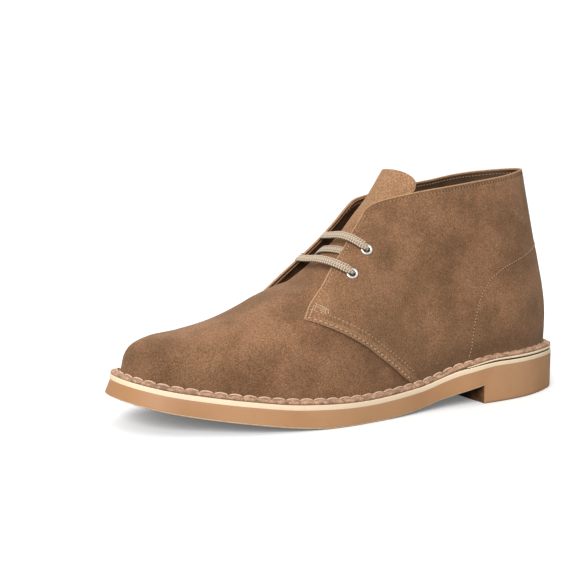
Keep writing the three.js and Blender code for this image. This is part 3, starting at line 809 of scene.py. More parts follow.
def add_camera():
    """The photograph's angle: degrees, and millimetres from the last's own middle."""
    turn = math.radians(CAMERA["azimuth"])
    aim = math.radians(CAMERA["azimuth"] + CAMERA["yaw"])
    pitch = math.radians(CAMERA["pitch"])
    roll = math.radians(CAMERA["roll"])
    out = CAMERA["distance"]
    at = Vector((out * math.sin(turn), SHIFT_Y - out * math.cos(turn), CAMERA["height"])) * MM
    ahead = Vector((
        -math.sin(aim) * math.cos(pitch), math.cos(aim) * math.cos(pitch), -math.sin(pitch),
    ))
    right = ahead.cross(Vector((0, 0, 1))).normalized()
    up = right.cross(ahead)
    right, up = (
        right * math.cos(roll) + up * math.sin(roll),
        up * math.cos(roll) - right * math.sin(roll),
    )
    data = bpy.data.cameras.new("camera")
    data.sensor_width = SENSOR
    data.lens = CAMERA["focal_px"] / FRAME_PX * SENSOR
    camera = bpy.data.objects.new("camera", data)
    camera.matrix_world = Matrix.Translation(at) @ Matrix((right, up, -ahead)).transposed().to_4x4()
    bpy.context.scene.collection.objects.link(camera)
    bpy.context.scene.camera = camera


def add_sun(name, strength, softness, azimuth, elevation):
    """A soft light from far off; azimuth is the side it comes from, as for the views."""
    data = bpy.data.lights.new(name, "SUN")
    data.energy = strength
    data.angle = math.radians(softness)
    lamp = bpy.data.objects.new(name, data)
    a, e = math.radians(azimuth), math.radians(elevation)
    back = Vector((math.sin(a) * math.cos(e), -math.cos(a) * math.cos(e), math.sin(e)))
    lamp.rotation_mode = "QUATERNION"
    lamp.rotation_quaternion = back.to_track_quat("Z", "Y")
    bpy.context.scene.collection.objects.link(lamp)


def add_stage():
    corners = [(x * FLOOR_HALF, y * FLOOR_HALF, 0) for x, y in ((-1, -1), (1, -1), (1, 1), (-1, 1))]
    floor = add_mesh("floor", corners, [(0, 1, 2, 3)], [stage_white()])


def add_world():
    """A pale sky that lights softly, and looks white behind the boot."""
    world = bpy.data.worlds.new("studio")
    world.use_nodes = True
    nodes, links = world.node_tree.nodes, world.node_tree.links
    out = nodes["World Output"]
    soft = nodes["Background"]
    soft.inputs["Color"].default_value = (1, 1, 1, 1)
    at = nodes.new("ShaderNodeTexCoord")
    height = nodes.new("ShaderNodeSeparateXYZ")
    fade = nodes.new("ShaderNodeMapRange")
    for key, number in (("From Min", 0.0), ("From Max", 1.0), ("To Min", 0.44), ("To Max", 0.57)):
        fade.inputs[key].default_value = number
    links.new(at.outputs["Generated"], height.inputs[0])
    links.new(height.outputs["Z"], fade.inputs["Value"])
    links.new(fade.outputs["Result"], soft.inputs["Strength"])
    seen = nodes.new("ShaderNodeBackground")
    seen.inputs["Color"].default_value = (1, 1, 1, 1)
    seen.inputs["Strength"].default_value = 1.05
    path = nodes.new("ShaderNodeLightPath")
    choose = nodes.new("ShaderNodeMixShader")
    links.new(path.outputs["Is Camera Ray"], choose.inputs[0])
    links.new(soft.outputs[0], choose.inputs[1])
    links.new(seen.outputs[0], choose.inputs[2])
    links.new(choose.outputs[0], out.inputs["Surface"])
    bpy.context.scene.world = world
    bpy.context.scene.view_settings.view_transform = "Standard"


add_camera()
for sun in SUNS:
    add_sun(*sun)
add_stage()
add_world()


# Sole -----------------------------------------------------------------------------------------

STATIONS = 380
END_TURN = 0.012  # how far the first and last stations stay from the ends, in radians
STEP_HALF = 0.25  # half the run of a sharp step, in mm


def sole_stations(*steps):
    """Places along the sole, close together at both ends, with a pair at each sharp step."""
    low, high = outline[:, 1].min(), outline[:, 1].max()
    middle, half = (low + high) / 2, (high - low) / 2
    y = middle - half * np.cos(np.linspace(END_TURN, math.pi - END_TURN, STATIONS))
    for step in steps:
        y = y[np.abs(y - step) > 3 * STEP_HALF]
        y = np.sort(np.r_[y, step - STEP_HALF, step + STEP_HALF])
    return y


outer_x, inner_x = look_up(outline_outer, 1, 0), look_up(outline_inner, 1, 0)


def sole_ring(y, growth):
    """The outline at stations y, outer side to the heel and inner side back, grown outwards."""
    around = np.r_[y, y[::-1]]
    x = np.r_[outer_x(y), inner_x(y[::-1])]
    ring = np.stack([x, around], -1)
    ahead = unit(np.roll(ring, -1, 0) - np.roll(ring, 1, 0))
    outwards = np.stack([ahead[:, 1], -ahead[:, 0]], -1)
    amount = growth(around) if callable(growth) else np.full_like(around, growth)
    return ring + outwards * amount[:, None], around


def slab(name, y, levels, materials, under=None, over=None, across=24):
    """A closed slab of the sole. levels are (height(y), growth) from the top down; under and
    over give the height of the bottom and top faces at x, y and a share of the way across."""
    rings = []
    for height, growth in levels:
        ring, around = sole_ring(y, growth)
        rings.append(np.column_stack([ring, height(around)]))
    points = [np.array(rings).reshape(-1, 3)]
    size = len(rings[0])
    index = np.arange(len(rings) * size).reshape(len(rings), size)
    faces = grid_quads(index, True, flip=True).tolist()
    total = len(rings) * size
    count = len(y)
    for ring_number, cap, flip in ((0, over, True), (len(rings) - 1, under, False)):
        ring = rings[ring_number]
        outer_side, inner_side = ring[:count], ring[count:][::-1]
        share = np.linspace(0, 1, across + 1)[1:-1]
        middle = outer_side[:, None] + (inner_side - outer_side)[:, None] * share[None, :, None]
        if cap is not None:
            middle[..., 2] = cap(middle[..., 0], middle[..., 1], share[None, :])
        inner_index = np.arange(total, total + count * len(share)).reshape(count, -1)
        total += count * len(share)
        points.append(middle.reshape(-1, 3))
        whole = np.column_stack([
            index[ring_number, :count], inner_index, index[ring_number, count:][::-1],
        ])
        faces += grid_quads(whole, False, flip=flip).tolist()
        for row in (0, -1):
            edge = whole[row].tolist()
            faces.append(edge[::-1] if (row == 0) != flip else edge)
    return add_mesh(name, np.vstack(points), faces, materials)


def make_outsole():
    y = sole_stations(HEEL_BREAST_Y)
    top = lambda at: bed(at) - MIDSOLE_THICK - GAP
    ground = lambda at: np.where(at > HEEL_BREAST_Y, 0.0, tread(at))
    flare = lambda at: TOE_FLARE * np.clip((-at - 60) / 90, 0, 1) ** 1.5
    ease = lambda at: np.where(at > HEEL_BREAST_Y, 1.3, 0.9)

    def level(share):
        """A row of the side wall, from the top (0) to the start of the eased edge (1)."""
        height = lambda at: top(at) + (ground(at) + ease(at) - top(at)) * share
        return height, lambda at: flare(at) * share

    def eased(turn):
        """A row of the eased edge, from the side wall (0) round to the tread."""
        height = lambda at: ground(at) + ease(at) * (1 - math.sin(turn))
        return height, lambda at: flare(at) - ease(at) * (1 - math.cos(turn))

    levels = [(top, -0.05)]
    levels += [level(share) for share in (0.04, 0.15, 0.3, 0.45, 0.6, 0.75, 0.9, 1.0)]
    levels += [eased(turn) for turn in np.radians((22, 45, 68, 90))]

    def under(x, at, share):
        """Shallow grooves across the tread, clear of its edge."""
        grooves = np.zeros_like(x)
        for start, stop in TREAD_GROOVES:
            phase = np.mod(at - start, GROOVE_PITCH)
            groove = smooth_step(0, 0.6, phase) * smooth_step(4.6, 4.0, phase)
            grooves += groove * (at >= start) * (at <= stop)
        edge = np.minimum(np.abs(x - outer_x(at)), np.abs(x - inner_x(at)))
        return ground(at) + GROOVE_DEPTH * grooves * smooth_step(8, 9.5, edge)

    across = 48
    piece = slab("outsole_rubber", y, levels, [RUBBER, LIP_HIGHLIGHT, TREAD_SHADE], under=under, across=across)
    slots = np.zeros(len(piece.data.polygons), np.int32)
    wall = slots[: (len(levels) - 1) * 2 * len(y)].reshape(len(levels) - 1, -1)
    # the eased edge in front of the heel gets the painted highlight
    wall[-4:-1] = np.r_[y, y[::-1]] < HEEL_BREAST_Y - 1  # the lip, in front of the heel
    # the tread and the arch underneath get the painted shade
    slots[-across * (len(y) - 1) - 2:] = 2
    piece.data.polygons.foreach_set("material_index", slots)
    return settle(keep_sharp(piece), "gum_rubber", "outsole")


def joint_low(y):
    """Top of the midsole, which dips a little under the wedge's dark joint."""
    return bed(y) - JOINT_DIP * smooth_step(WEDGE_FRONT_Y, WEDGE_FRONT_Y + 25, y)


def make_midsole():
    low = lambda at: bed(at) - MIDSOLE_THICK - 0.8 * GAP
    levels = [
        (joint_low, -0.3),
        (lambda at: joint_low(at) - 0.2, -0.02),
        (lambda at: (joint_low(at) + low(at)) / 2, 0.06),
        (lambda at: low(at) + 0.08, 0.02),
        (low, -0.06),
    ]
    piece = slab("midsole_strip", sole_stations(), levels, [CREAM], across=8)
    return settle(keep_sharp(piece), "cream_rubber", "midsole")


def thin_slab(name, front, top, low, inset, material, slot, *nodes):
    """A layer behind a place on the sole, as one closed slab with a rounded edge."""
    y = sole_stations()
    y = y[y > front]
    levels = [
        (top, -inset - 0.3), (lambda at: (top(at) + low(at)) / 2, -inset), (low, -inset - 0.3),
    ]
    return settle(keep_sharp(slab(name, y, levels, [material], across=8)), slot, *nodes)


def make_heel_layers():
    top = lambda at: np.maximum(seat(at) - 0.1, bed(at) + 1.05)
    low = lambda at: bed(at) + 0.55
    thin_slab("heel_wedge_strip", WEDGE_FRONT_Y, top, low, 0.1, CREAM, "cream_rubber", "heel_wedge")
    # a dark layer set back under the wedge: a dark joint, and painted shade in its gap
    thin_slab("wedge_joint", WEDGE_FRONT_Y + 1, low, joint_low, 0.6, JOINT_AND_SHADE, "suede_edge")


def make_insole():
    """The sock, over the whole seat inside the upper."""
    y = sole_stations()
    inset = FLANGE + WALL + GAP
    y = y[(y > y[0] + inset) & (y < y[-1] - inset)]
    top = lambda at: seat(at) + INSOLE_THICK
    levels = [
        (top, -inset - 1.2),
        (lambda at: top(at) - 0.4, -inset - 0.3),
        (lambda at: seat(at) + 1.0, -inset),
        (seat, -inset),
    ]
    dish = lambda x, at, share: top(at) - 0.8 * np.sin(math.pi * share)
    piece = slab("insole_sock", y, levels, [LEATHER], over=dish, across=24)
    return settle(keep_sharp(piece, 60), "lining_leather", "insole")


make_outsole()
make_midsole()
make_heel_layers()
make_insole()


# Upper ----------------------------------------------------------------------------------------

# Soft troughs (negative) and ridges: side, u and v of each end, half width, depth in mm.
CREASES = [
    (1, 0.23, 0.16, 0.05, 0.36, 6.0, -0.45),
    (1, 0.31, 0.12, 0.16, 0.34, 7.0, 0.4),
    (1, 0.36, 0.20, 0.27, 0.34, 6.0, -0.35),
    (-1, 0.24, 0.16, 0.04, 0.36, 6.0, -0.4),
    (-1, 0.33, 0.12, 0.16, 0.33, 7.0, 0.35),
    (1, 0.46, 0.62, 0.72, 0.74, 9.0, -0.5),
    (1, 0.50, 0.50, 0.70, 0.60, 8.0, 0.35),
    (-1, 0.46, 0.62, 0.74, 0.72, 9.0, -0.5),
]


def creases(w, v):
    """How far the leather stands off the last where it has begun to fold, in mm."""
    places = form_point(w, v)
    rise = np.zeros(places.shape[:-1])
    for side, u0, v0, u1, v1, width, depth in CREASES:
        along = np.linspace(0, 1, 24)
        line = form_point(side * (u0 + (u1 - u0) * along), v0 + (v1 - v0) * along)
        for share, spot in zip(along, line):
            distance = np.linalg.norm(places - spot, axis=-1)
            bell = depth * math.sin(math.pi * (0.04 + 0.92 * share)) ** 0.7
            swell = bell * np.exp(-((distance / width) ** 2))
            stronger = np.abs(swell) > np.abs(rise) if depth < 0 else swell > rise
            rise = np.where(stronger, swell, rise)
    return rise


def heel_bulge(w, v):
    """The stiff counter behind its stitch line, which presses the suede out a little."""
    u, _ = run_share(w)
    line = table(COUNTER_LINE[4:], 1)
    inside = smooth_step(0.685, 0.75, u) * smooth_step(0.03, -0.09, v - line(np.maximum(u, 0.7)))
    return 0.3 * inside * smooth_step(0, 0.1, v)


def medial_lift(w, v):
    """The inner facing springs away from the tongue towards its top."""
    u, outer = run_share(w)
    front = quarter_front(np.minimum(v, COLLAR_EDGE[0][1]), -1)
    near = smooth_step(0.13, 0.0, u - front) * ~outer
    return MEDIAL_SPRING * near * smooth_step(0.42, 0.62, v)


def foot_fillet(v):
    """The leather turns out over the last few millimetres above the sole."""
    return 1.3 * np.clip(1 - np.asarray(v) / 0.045, 0, 1) ** 2


def flange_place(w, reach, height):
    """A place on the turned-out edge of the upper: mm out from the feather line, mm up."""
    at = form_point(w, np.zeros_like(w))
    ahead = form_point(w + 0.003, 0 * w) - form_point(w - 0.003, 0 * w)
    out = unit(np.stack([ahead[..., 1], -ahead[..., 0], 0 * w], -1))
    p = at + out * np.asarray(reach)[..., None]
    p[..., 2] = seat(p[..., 1]) + height
    return p


def flange_line(height):
    """The line of the sole's stitches round the flange: w, and points this high on it."""
    w = np.linspace(0, 2, 1601)
    return w, flange_place(w, FLANGE_STITCH_REACH, height)


FLANGE_COLUMNS = 1000
# Round the flange's section: reach, height, how far a stitch's end pulls it down, how far it
# bulges between the ends.
FLANGE_ROWS = [
    (-1.6, 1.2, 0, 0), (-0.2, 1.75, 0.1, 0.05), (0.8, 1.85, 0.3, 0.2), (1.6, 1.95, 0.6, 0.32),
    (2.2, 2.0, 0.9, 0.34), (2.7, 2.0, 0.9, 0.3), (3.2, 1.98, 0.6, 0.2),
    (3.9, 1.94, 0.2, 0.08), (4.7, 1.88, 0.05, 0.03), (5.4, 1.72, 0, 0),
    (5.9, 1.45, 0, 0), (6.15, 1.0, 0, 0), (6.15, 0.55, 0, 0), (6.0, 0.2, 0, 0),
    (5.6, 0.0, 0, 0), (-1.6, 0.0, 0, 0),
]


def make_flange():
    w_fine, line = flange_line(0)
    run = run_of(line)
    count = round(run[-1] / FLANGE_PITCH)
    w = np.linspace(0, 2, FLANGE_COLUMNS, endpoint=False)
    phase = np.interp(w, w_fine, run) / run[-1] * count
    pulled = np.maximum(0, np.cos(2 * math.pi * phase)) ** 8
    bulge = 0.5 - 0.5 * np.cos(2 * math.pi * phase)
    section = []
    for reach, height, pull, swell in FLANGE_ROWS[::-1]:
        edge = 0.18 * (bulge - 0.5) if reach > 5 else 0
        at_height = height - pull * pulled * 0.7 + swell * bulge
        section.append(flange_place(w, reach + edge, at_height))
    index = np.arange(len(section) * FLANGE_COLUMNS).reshape(len(section), -1)
    faces = grid_quads(np.vstack([index, index[:1]]), True).tolist()
    piece = add_mesh("flange", section, faces, [FLANGE_SUEDE])
    return settle(keep_sharp(piece, 50), "suede", "upper")


def make_flange_stitches():
    """Thick thread along the turned-out edge, down through it into the sole."""
    _, line = flange_line(2.35)
    line[:, 2] -= 0.75 * smooth_step(50, 75, line[:, 1])
    up = np.tile((0.0, 0.0, 1.0), (len(line), 1))
    points, faces = stitch_row(line, up, FLANGE_PITCH, 7.3, 0.72, 0.34, 13, 10, 2.6)
    piece = add_mesh("flange_stitches", points, faces, [SOLE_THREAD])
    return settle(piece, "thread")


def half_arc(v, side):
    """Half the width of the vamp and tongue, as an arc from the instep line."""
    reach = np.minimum(quarter_front(np.minimum(v, CORNER_V), side) + 0.045, 0.62)
    vamp = np.interp(reach, ARC_SHARES, arcs_at(v, side))
    tongue = float(table(TONGUE_ROWS)(v))
    blend = float(smooth_step(0.38, 0.47, v))
    return vamp + (tongue - vamp) * blend


def tongue_depth(w, v):
    """How deep the tongue's face lies under the last; it stays fuller between the facings."""
    u, outer = run_share(w)
    front = quarter_front(v, 1) * np.where(outer, 1, inner_share(v))
    between_facings = smooth_step(0.92, 0.5, u / front)
    return table(TONGUE_SINK)(v) - table(TONGUE_CROWN)(v) * between_facings


def painted_shade(piece, w, v):
    """Marks how strongly each point of a piece is darkened by painted shade, from the sole up and
    towards the heel.
    """
    u, _ = run_share(w)
    reach = table(PAINTED_SHADE_REACH)(u)
    dark = (0.3 + 0.25 * smooth_step(0.3, 0.7, u)) * smooth_step(1, 0, v / reach) ** 1.3
    # painted shade towards the heel, where less light falls
    dark = np.maximum(dark, 0.16 * smooth_step(0.78, 0.95, u))
    mark(piece, "painted_shade", dark)


def make_vamp():
    """The vamp, which runs on without a seam into the tongue."""
    shares = np.linspace(-1, 1, 171)
    heights = np.r_[np.linspace(0.0, 0.06, 8)[:-1], np.linspace(0.06, 1, 120)]
    places = []
    for v in heights:
        w = np.empty_like(shares)
        for side in (1, -1):
            mine = shares >= 0 if side > 0 else shares < 0
            wider = TONGUE_WIDER * float(smooth_step(0.84, 1, v)) * (side > 0)
            w[mine] = arc_to_w(v, side, np.abs(shares[mine]) * (half_arc(v, side) + wider))
        places.append(w)
    w = np.array(places)
    v = np.repeat(heights[:, None], len(shares), 1)
    rise = creases(w, v) * smooth_step(0.55, 0.4, v) + foot_fillet(v) - tongue_depth(w, v)
    edge = smooth_step(0.8, 1.0, np.abs(shares))[None, :] * smooth_step(0.5, 0.8, v)
    wave = 0.4 * np.sin(v * 21) * edge
    face = off_form(w, v, rise + wave)
    back = off_form(w, v, rise + wave - TONGUE_THICK)
    halves = {1: table(TONGUE_TIP, 1), -1: table(TONGUE_TIP, 2)}
    tips_out, tips_in = [], []
    for turn in np.radians(np.linspace(4, 90, 26)):
        run = TONGUE_TIP[-1][0] * math.sin(turn)
        outer_arc, inner_arc = (float(halves[side](run)) for side in (1, -1))
        arcs = (outer_arc - inner_arc) / 2 + shares * (outer_arc + inner_arc) / 2
        w_row = np.array([arc_to_w(1, 1 if a >= 0 else -1, abs(a)) for a in arcs])
        lean = TONGUE_LEAN * run
        sway = 0.5 * np.sin(run * 0.28) * smooth_step(0.6, 1, np.abs(shares))
        depth = -TONGUE_SINK[-1][1] + wave[-1] * (1 - run / TIP_FLAT_RUN) + sway
        tips_out.append(off_form(w_row, 1, depth) + lean)
        tips_in.append(off_form(w_row, 1, depth - TONGUE_THICK) + lean)
    face = np.concatenate([face, np.array(tips_out)])
    back = np.concatenate([back, np.array(tips_in)])
    piece = sheet("vamp_and_tongue", face, back, 0.5, [SUEDE, SUEDE_EDGE])
    # painted shade along the sole
    painted_shade(piece, w, v)
    # painted light: the tongue's top and tip, which face the light, are painted paler
    mark(piece, "pale_and_painted_light", 0.6 * smooth_step(0.8, 1.0, v), 0.6)
    return settle(piece, "suede", "upper", "tongue")


# Places of the first rows of points in from an edge, and about how long and high a quarter's
# grid is, all in mm.
EDGE_STEPS = [0, 0.4, 0.9, 1.4, 1.9, 2.4, 2.9, 3.5, 4.2, 4.9, 5.5, 6.1, 6.8, 7.6, 8.6]
GRID_LENGTH = 130
GRID_HEIGHT = 100


def clustered(length, pitch):
    """Shares of a length that lie close together near its start."""
    rest = np.arange(EDGE_STEPS[-1] + pitch, length, pitch)
    steps = np.r_[EDGE_STEPS, rest, length]
    return steps / length


def quarter_grid(column_pitch=1.7, row_pitch=1.35, margin=0.0, top_margin=0.0):
    """(w, v) over both quarters, from the outer front edge round the heel to the inner one.
    margin keeps the sheet back from its front edges and top_margin from the collar, as shares."""
    across = clustered(GRID_LENGTH, column_pitch)
    up = 1 - clustered(GRID_HEIGHT, row_pitch)[::-1]
    corner = COLLAR_EDGE[0][0]
    halves = []
    for side in (1, -1):
        nearer = 1 if side > 0 else MEDIAL_FACING
        start = corner * nearer + margin
        u_top = start + (1 - start) * across
        v_top = collar_edge(u_top / nearer) - top_margin
        v = v_top[None, :] * up[:, None]
        left = quarter_front(np.minimum(v, COLLAR_EDGE[0][1]), side) + margin
        u = left + (1 - left) * across[None, :]
        halves.append((u if side > 0 else 2 - u, v))
    (w0, v0), (w1, v1) = halves
    return np.hstack([w0, w1[:, ::-1][:, 1:]]), np.hstack([v0, v1[:, ::-1][:, 1:]])


def edge_distance(w, v):
    """Millimetres over a quarter grid from its nearer front edge and from the collar."""
    p = form_point(w, v)
    across = np.linalg.norm(np.diff(p, axis=1), axis=-1)
    run = np.hstack([np.zeros((len(p), 1)), np.cumsum(across, 1)])
    front = np.minimum(run, run[:, -1:] - run)
    up = np.linalg.norm(np.diff(p, axis=0), axis=-1)
    climb = np.vstack([np.zeros((1, p.shape[1])), np.cumsum(up, 0)])
    return front, climb[-1:] - climb


def stand_off(w, v):
    """How far the quarters' layers move off the last together, in mm."""
    return creases(w, v) * smooth_step(0.4, 0.5, v) + heel_bulge(w, v) + medial_lift(w, v)


def make_quarters():
    w, v = quarter_grid()
    front, collar = edge_distance(w, v)
    low = smooth_step(CORNER_V + 0.02, CORNER_V - 0.02, v)
    pressed = -PRESS * (1 - low) * np.exp(-((np.minimum(front, collar) - ROW_IN) / 0.9) ** 2)
    for distance in LOWER_ROWS_IN:
        pressed -= PRESS * low * np.exp(-((front - distance) / 0.8) ** 2)
    rise = stand_off(w, v) + foot_fillet(v)
    face = off_form(w, v, rise + FACE + pressed)
    back = off_form(w, v, rise + 0.05)
    piece = sheet("quarters", face, back, 0.35, [SUEDE, SUEDE_EDGE], raw=v > CORNER_V)
    # painted shade along the sole and towards the heel
    painted_shade(piece, w, v)
    # the quarters are made paler in a band along the lower edge and low towards the front
    band = low * smooth_step(LOWER_ROWS_IN[1] + 1.6, LOWER_ROWS_IN[1], front)
    low_front = smooth_step(100, 60, front) * smooth_step(0.8, 0.5, v)
    mark(piece, "pale_and_painted_light", 0.3 * band + 0.14 * low_front)
    return settle(piece, "suede", "upper")


def make_lining():
    """Leather inside the quarters, out to the facings and up to the collar."""
    w, v = quarter_grid(2.6, 2.2, margin=0.011, top_margin=0.004)
    from_edge = np.minimum(*edge_distance(w, v))
    thicker = smooth_step(2, 9, from_edge) * smooth_step(1, 0.8, v)
    thick = LINING_EDGE + (WALL - LINING_EDGE) * thicker
    rise = stand_off(w, v)
    face, back = off_form(w, v, rise - 0.02), off_form(w, v, rise - thick)
    piece = sheet("lining", face, back, 0.3, [LEATHER, LEATHER_EDGE])
    return settle(piece, "lining_leather", "upper")


def edge_line(side, part):
    """(w, v) along one edge of a quarter."""
    nearer = 1 if side > 0 else MEDIAL_FACING
    if part == "collar":
        u = np.linspace(COLLAR_EDGE[0][0] * nearer, 1, 400)
        return side * u, collar_edge(u / nearer)
    low, high = (0.02, CORNER_V - 0.004) if part == "lower" else (CORNER_V, COLLAR_EDGE[0][1])
    v = np.linspace(low, high, 240)
    return side * quarter_front(v, side), v


TOP_V = 0.998  # lines on the last stop just short of the collar line


def find_on_form(target, w, v):
    """(w, v) of the places on the last nearest to some points, from a guess close by."""
    step = 0.002
    for _ in range(4):
        along = (form_point(w + step, v) - form_point(w - step, v)) / (2 * step)
        up = (form_point(w, v + step) - form_point(w, v - step)) / (2 * step)
        miss = target - form_point(w, v)
        aa, uu = np.sum(along * along, -1), np.sum(up * up, -1)
        au = np.sum(along * up, -1)
        am, um = np.sum(along * miss, -1), np.sum(up * miss, -1)
        whole = aa * uu - au * au
        w = w + (am * uu - um * au) / whole
        v = np.clip(v + (um * aa - am * au) / whole, 0, TOP_V)
    return w, v


def inset(w, v, side, distance):
    """A line moved in from a quarter's edge, over the last."""
    v = np.minimum(v, TOP_V)
    p = form_point(w, v)
    ahead = unit(np.gradient(p, axis=0))
    for _ in range(6):
        ahead[1:-1] = unit(ahead[:-2] + 2 * ahead[1:-1] + ahead[2:])
    inwards = np.cross(form_normal(w, v), ahead)
    middle = form_point(side * 0.8, 0.5)
    inwards *= np.sign(np.sum(inwards * (middle - p)))
    return find_on_form(p + inwards * distance, w, v)


def line_on_quarter(w, v, depth):
    """A line this deep under the face of a quarter."""
    return off_form(w, v, stand_off(w, v) + foot_fillet(v) + FACE - depth)


def row_on_quarter(w, v, depth=PRESS, thick=0.62, pitch=STITCH_PITCH, length=1.75, proud=0.2):
    """A row of stitches lying on the face of a quarter."""
    line = line_on_quarter(w, v, depth)
    return stitch_row(line, form_normal(w, v), pitch, length, thick, proud, twist=TWIST)


def holes_on_quarter(w, v, depth=PRESS, pitch=STITCH_PITCH, size=0.62):
    """The needle's holes between the stitches of a row, as dark nubs: painted shade in the holes.
    """
    line = line_on_quarter(w, v, depth + 0.1)
    run = run_of(line)
    count = max(1, round(run[-1] / pitch))
    half = run[-1] / count / 2
    inside = (run > half) & (run < run[-1] - half)
    line, out = line[inside], form_normal(w, v)[inside]
    return stitch_row(line, out, run[-1] / count, size, size, 0.12, 5, 8)


# Lines of the corner's stitched box, each from one place to another: mm along the lower edge
# and mm up the facing.
CORNER_BOX = [
    ((2.4, 2.6), (2.8, 10.2)), ((3.8, 6.6), (4.0, 10.8)), ((3.2, 11.2), (10.4, 10.2)),
    ((4.6, 9.4), (10.0, 8.6)), ((10.8, 10.0), (11.6, 7.4)), ((5.4, 10.9), (11.0, 9.2)),
    ((6.6, 7.9), (10.4, 7.4)), ((9.4, 10.8), (9.9, 7.6)),
]


def corner_box(side):
    """The stitched box that holds the corner where the facing meets the lower edge."""
    below, corner, above = (
        form_point(side * quarter_front(v, side), v)
        for v in (CORNER_V - 0.08, CORNER_V, CORNER_V + 0.08)
    )
    along, up = unit(below - corner), unit(above - corner)
    share = np.linspace(0, 1, 40)[:, None]
    guess = np.full(len(share), side * quarter_front(CORNER_V, side))
    parts = []
    for start, stop in CORNER_BOX:
        spots = np.array(start) + (np.array(stop) - start) * share
        target = corner + spots[:, :1] * along + spots[:, 1:] * up
        w, v = find_on_form(target, guess, np.full(len(share), CORNER_V))
        parts.append(row_on_quarter(w, v, depth=0.05, pitch=1.6, length=1.65, thick=0.8))
    return parts


def make_quarter_stitches():
    """Facing, collar and lower-edge rows, the corner boxes and the counter's line."""
    bold, fine, tan, holes = [], [], [], []
    for side in (1, -1):
        facing, collar = edge_line(side, "facing"), edge_line(side, "collar")
        turn = len(facing[0]) - 1
        w = np.r_[facing[0][:-1], collar[0]]
        v = np.r_[facing[1][:-1], collar[1]]
        w, v = inset(w, v, side, ROW_IN)
        up, back = slice(16, turn), slice(turn, None)
        fine.append(row_on_quarter(w[up], v[up], thick=0.5, length=1.5))
        holes.append(holes_on_quarter(w[up], v[up], size=0.75))
        tan.append(row_on_quarter(w[back], v[back], thick=0.5, length=1.5, proud=0.1))
        holes.append(holes_on_quarter(w[back], v[back], size=0.85))
        lower = edge_line(side, "lower")
        for distance, pitch, thick in zip(LOWER_ROWS_IN, (3.2, 2.7), (0.85, 0.62)):
            line = inset(*lower, side, distance)
            bold.append(row_on_quarter(*line, pitch=pitch, length=0.87 * pitch, thick=thick))
            holes.append(holes_on_quarter(*line, pitch=pitch))
        bold += corner_box(side)
    u, v = curve(COUNTER_LINE, False, 300)[:-5].T
    for side in (1, -1):
        fine.append(row_on_quarter(side * u, v, 0.0, 0.5, 2.1, 1.4, 0.12))
        holes.append(holes_on_quarter(side * u, v, depth=0.0, pitch=2.1))
    # the needle holes are dark nubs of painted shade
    for name, parts, material in (
        ("quarter_stitches", bold, THREAD), ("edge_stitches", fine, THREAD),
        ("collar_stitches", tan, TAN_THREAD), ("needle_holes", holes, JOINT_AND_SHADE),
    ):
        settle(add_mesh(name, *join(parts), [material]), "thread")


def make_lining_stitches():
    """The collar row as it shows on the lining."""
    parts = []
    for side in (1, -1):
        w, v = inset(*edge_line(side, "collar"), side, ROW_IN)
        line = off_form(w, v, stand_off(w, v) - 1.15)
        out = -form_normal(w, v)
        parts.append(stitch_row(line, out, STITCH_PITCH, 1.6, 0.5, 0.15, twist=TWIST))
    settle(add_mesh("lining_stitches", *join(parts), [TAN_THREAD]), "thread")


make_flange()
make_flange_stitches()
make_vamp()
quarters = make_quarters()
make_quarter_stitches()
lining = make_lining()
make_lining_stitches()


# Eyelets --------------------------------------------------------------------------------------

def eyelet_seat(row):
    """An eyelet's middle and outward direction, its w and v, and how far its facing springs."""
    _, side, v, arc = row
    w = float(arc_to_w(v, side, arc))
    lift = float(medial_lift(np.array(w), v))
    return form_point(w, v), form_normal(w, v), w, v, lift


def round_about(middle, out, profile, turns):
    """Rings of points turned round a line, from a profile of (radius, height)."""
    side_way = unit(np.cross(out, (0, 0, 1.0)))
    up_way = np.cross(side_way, out)
    spokes = np.cos(turns)[:, None] * side_way + np.sin(turns)[:, None] * up_way
    return middle + spokes[None] * profile[:, 0, None, None] + out * profile[:, 1, None, None]


def punch(piece):
    """Cuts the eyelets' holes through a sheet."""
    turns = np.linspace(0, 2 * math.pi, 32, endpoint=False)
    ends = np.array([(EYELET_HOLE, -7.0), (EYELET_HOLE, 5.0)])
    cutters = []
    for row in EYELETS:
        middle, out, _, _, lift = eyelet_seat(row)
        grid = round_about(middle + out * lift, out, ends, turns)
        index = np.arange(2 * len(turns)).reshape(2, -1)
        faces = grid_quads(index, True, flip=True).tolist()
        faces += [index[0].tolist(), index[1][::-1].tolist()]
        cutters.append((grid.reshape(-1, 3), faces))
    cutter = add_mesh("cutter", *join(cutters), [], smooth=False)
    cut = piece.modifiers.new("holes", "BOOLEAN")
    cut.operation = "DIFFERENCE"
    cut.solver = "EXACT"
    cut.object = cutter
    ready = piece.evaluated_get(bpy.context.evaluated_depsgraph_get())
    piece.data = bpy.data.meshes.new_from_object(ready)
    piece.modifiers.clear()
    bpy.data.objects.remove(cutter)


# An eyelet's tube, over the last, and its rolled rim, over the facing: radius, height.
EYELET_TUBE = [(1.86, -2.6), (2.1, -2.6)]
EYELET_RIM = [
    (2.1, 0), (2.9, 0.02), (3.32, 0.06), (3.52, 0.22), (3.5, 0.46), (3.28, 0.68), (2.96, 0.8),
    (2.6, 0.8), (2.24, 0.66), (1.98, 0.4), (1.88, 0.05),
]


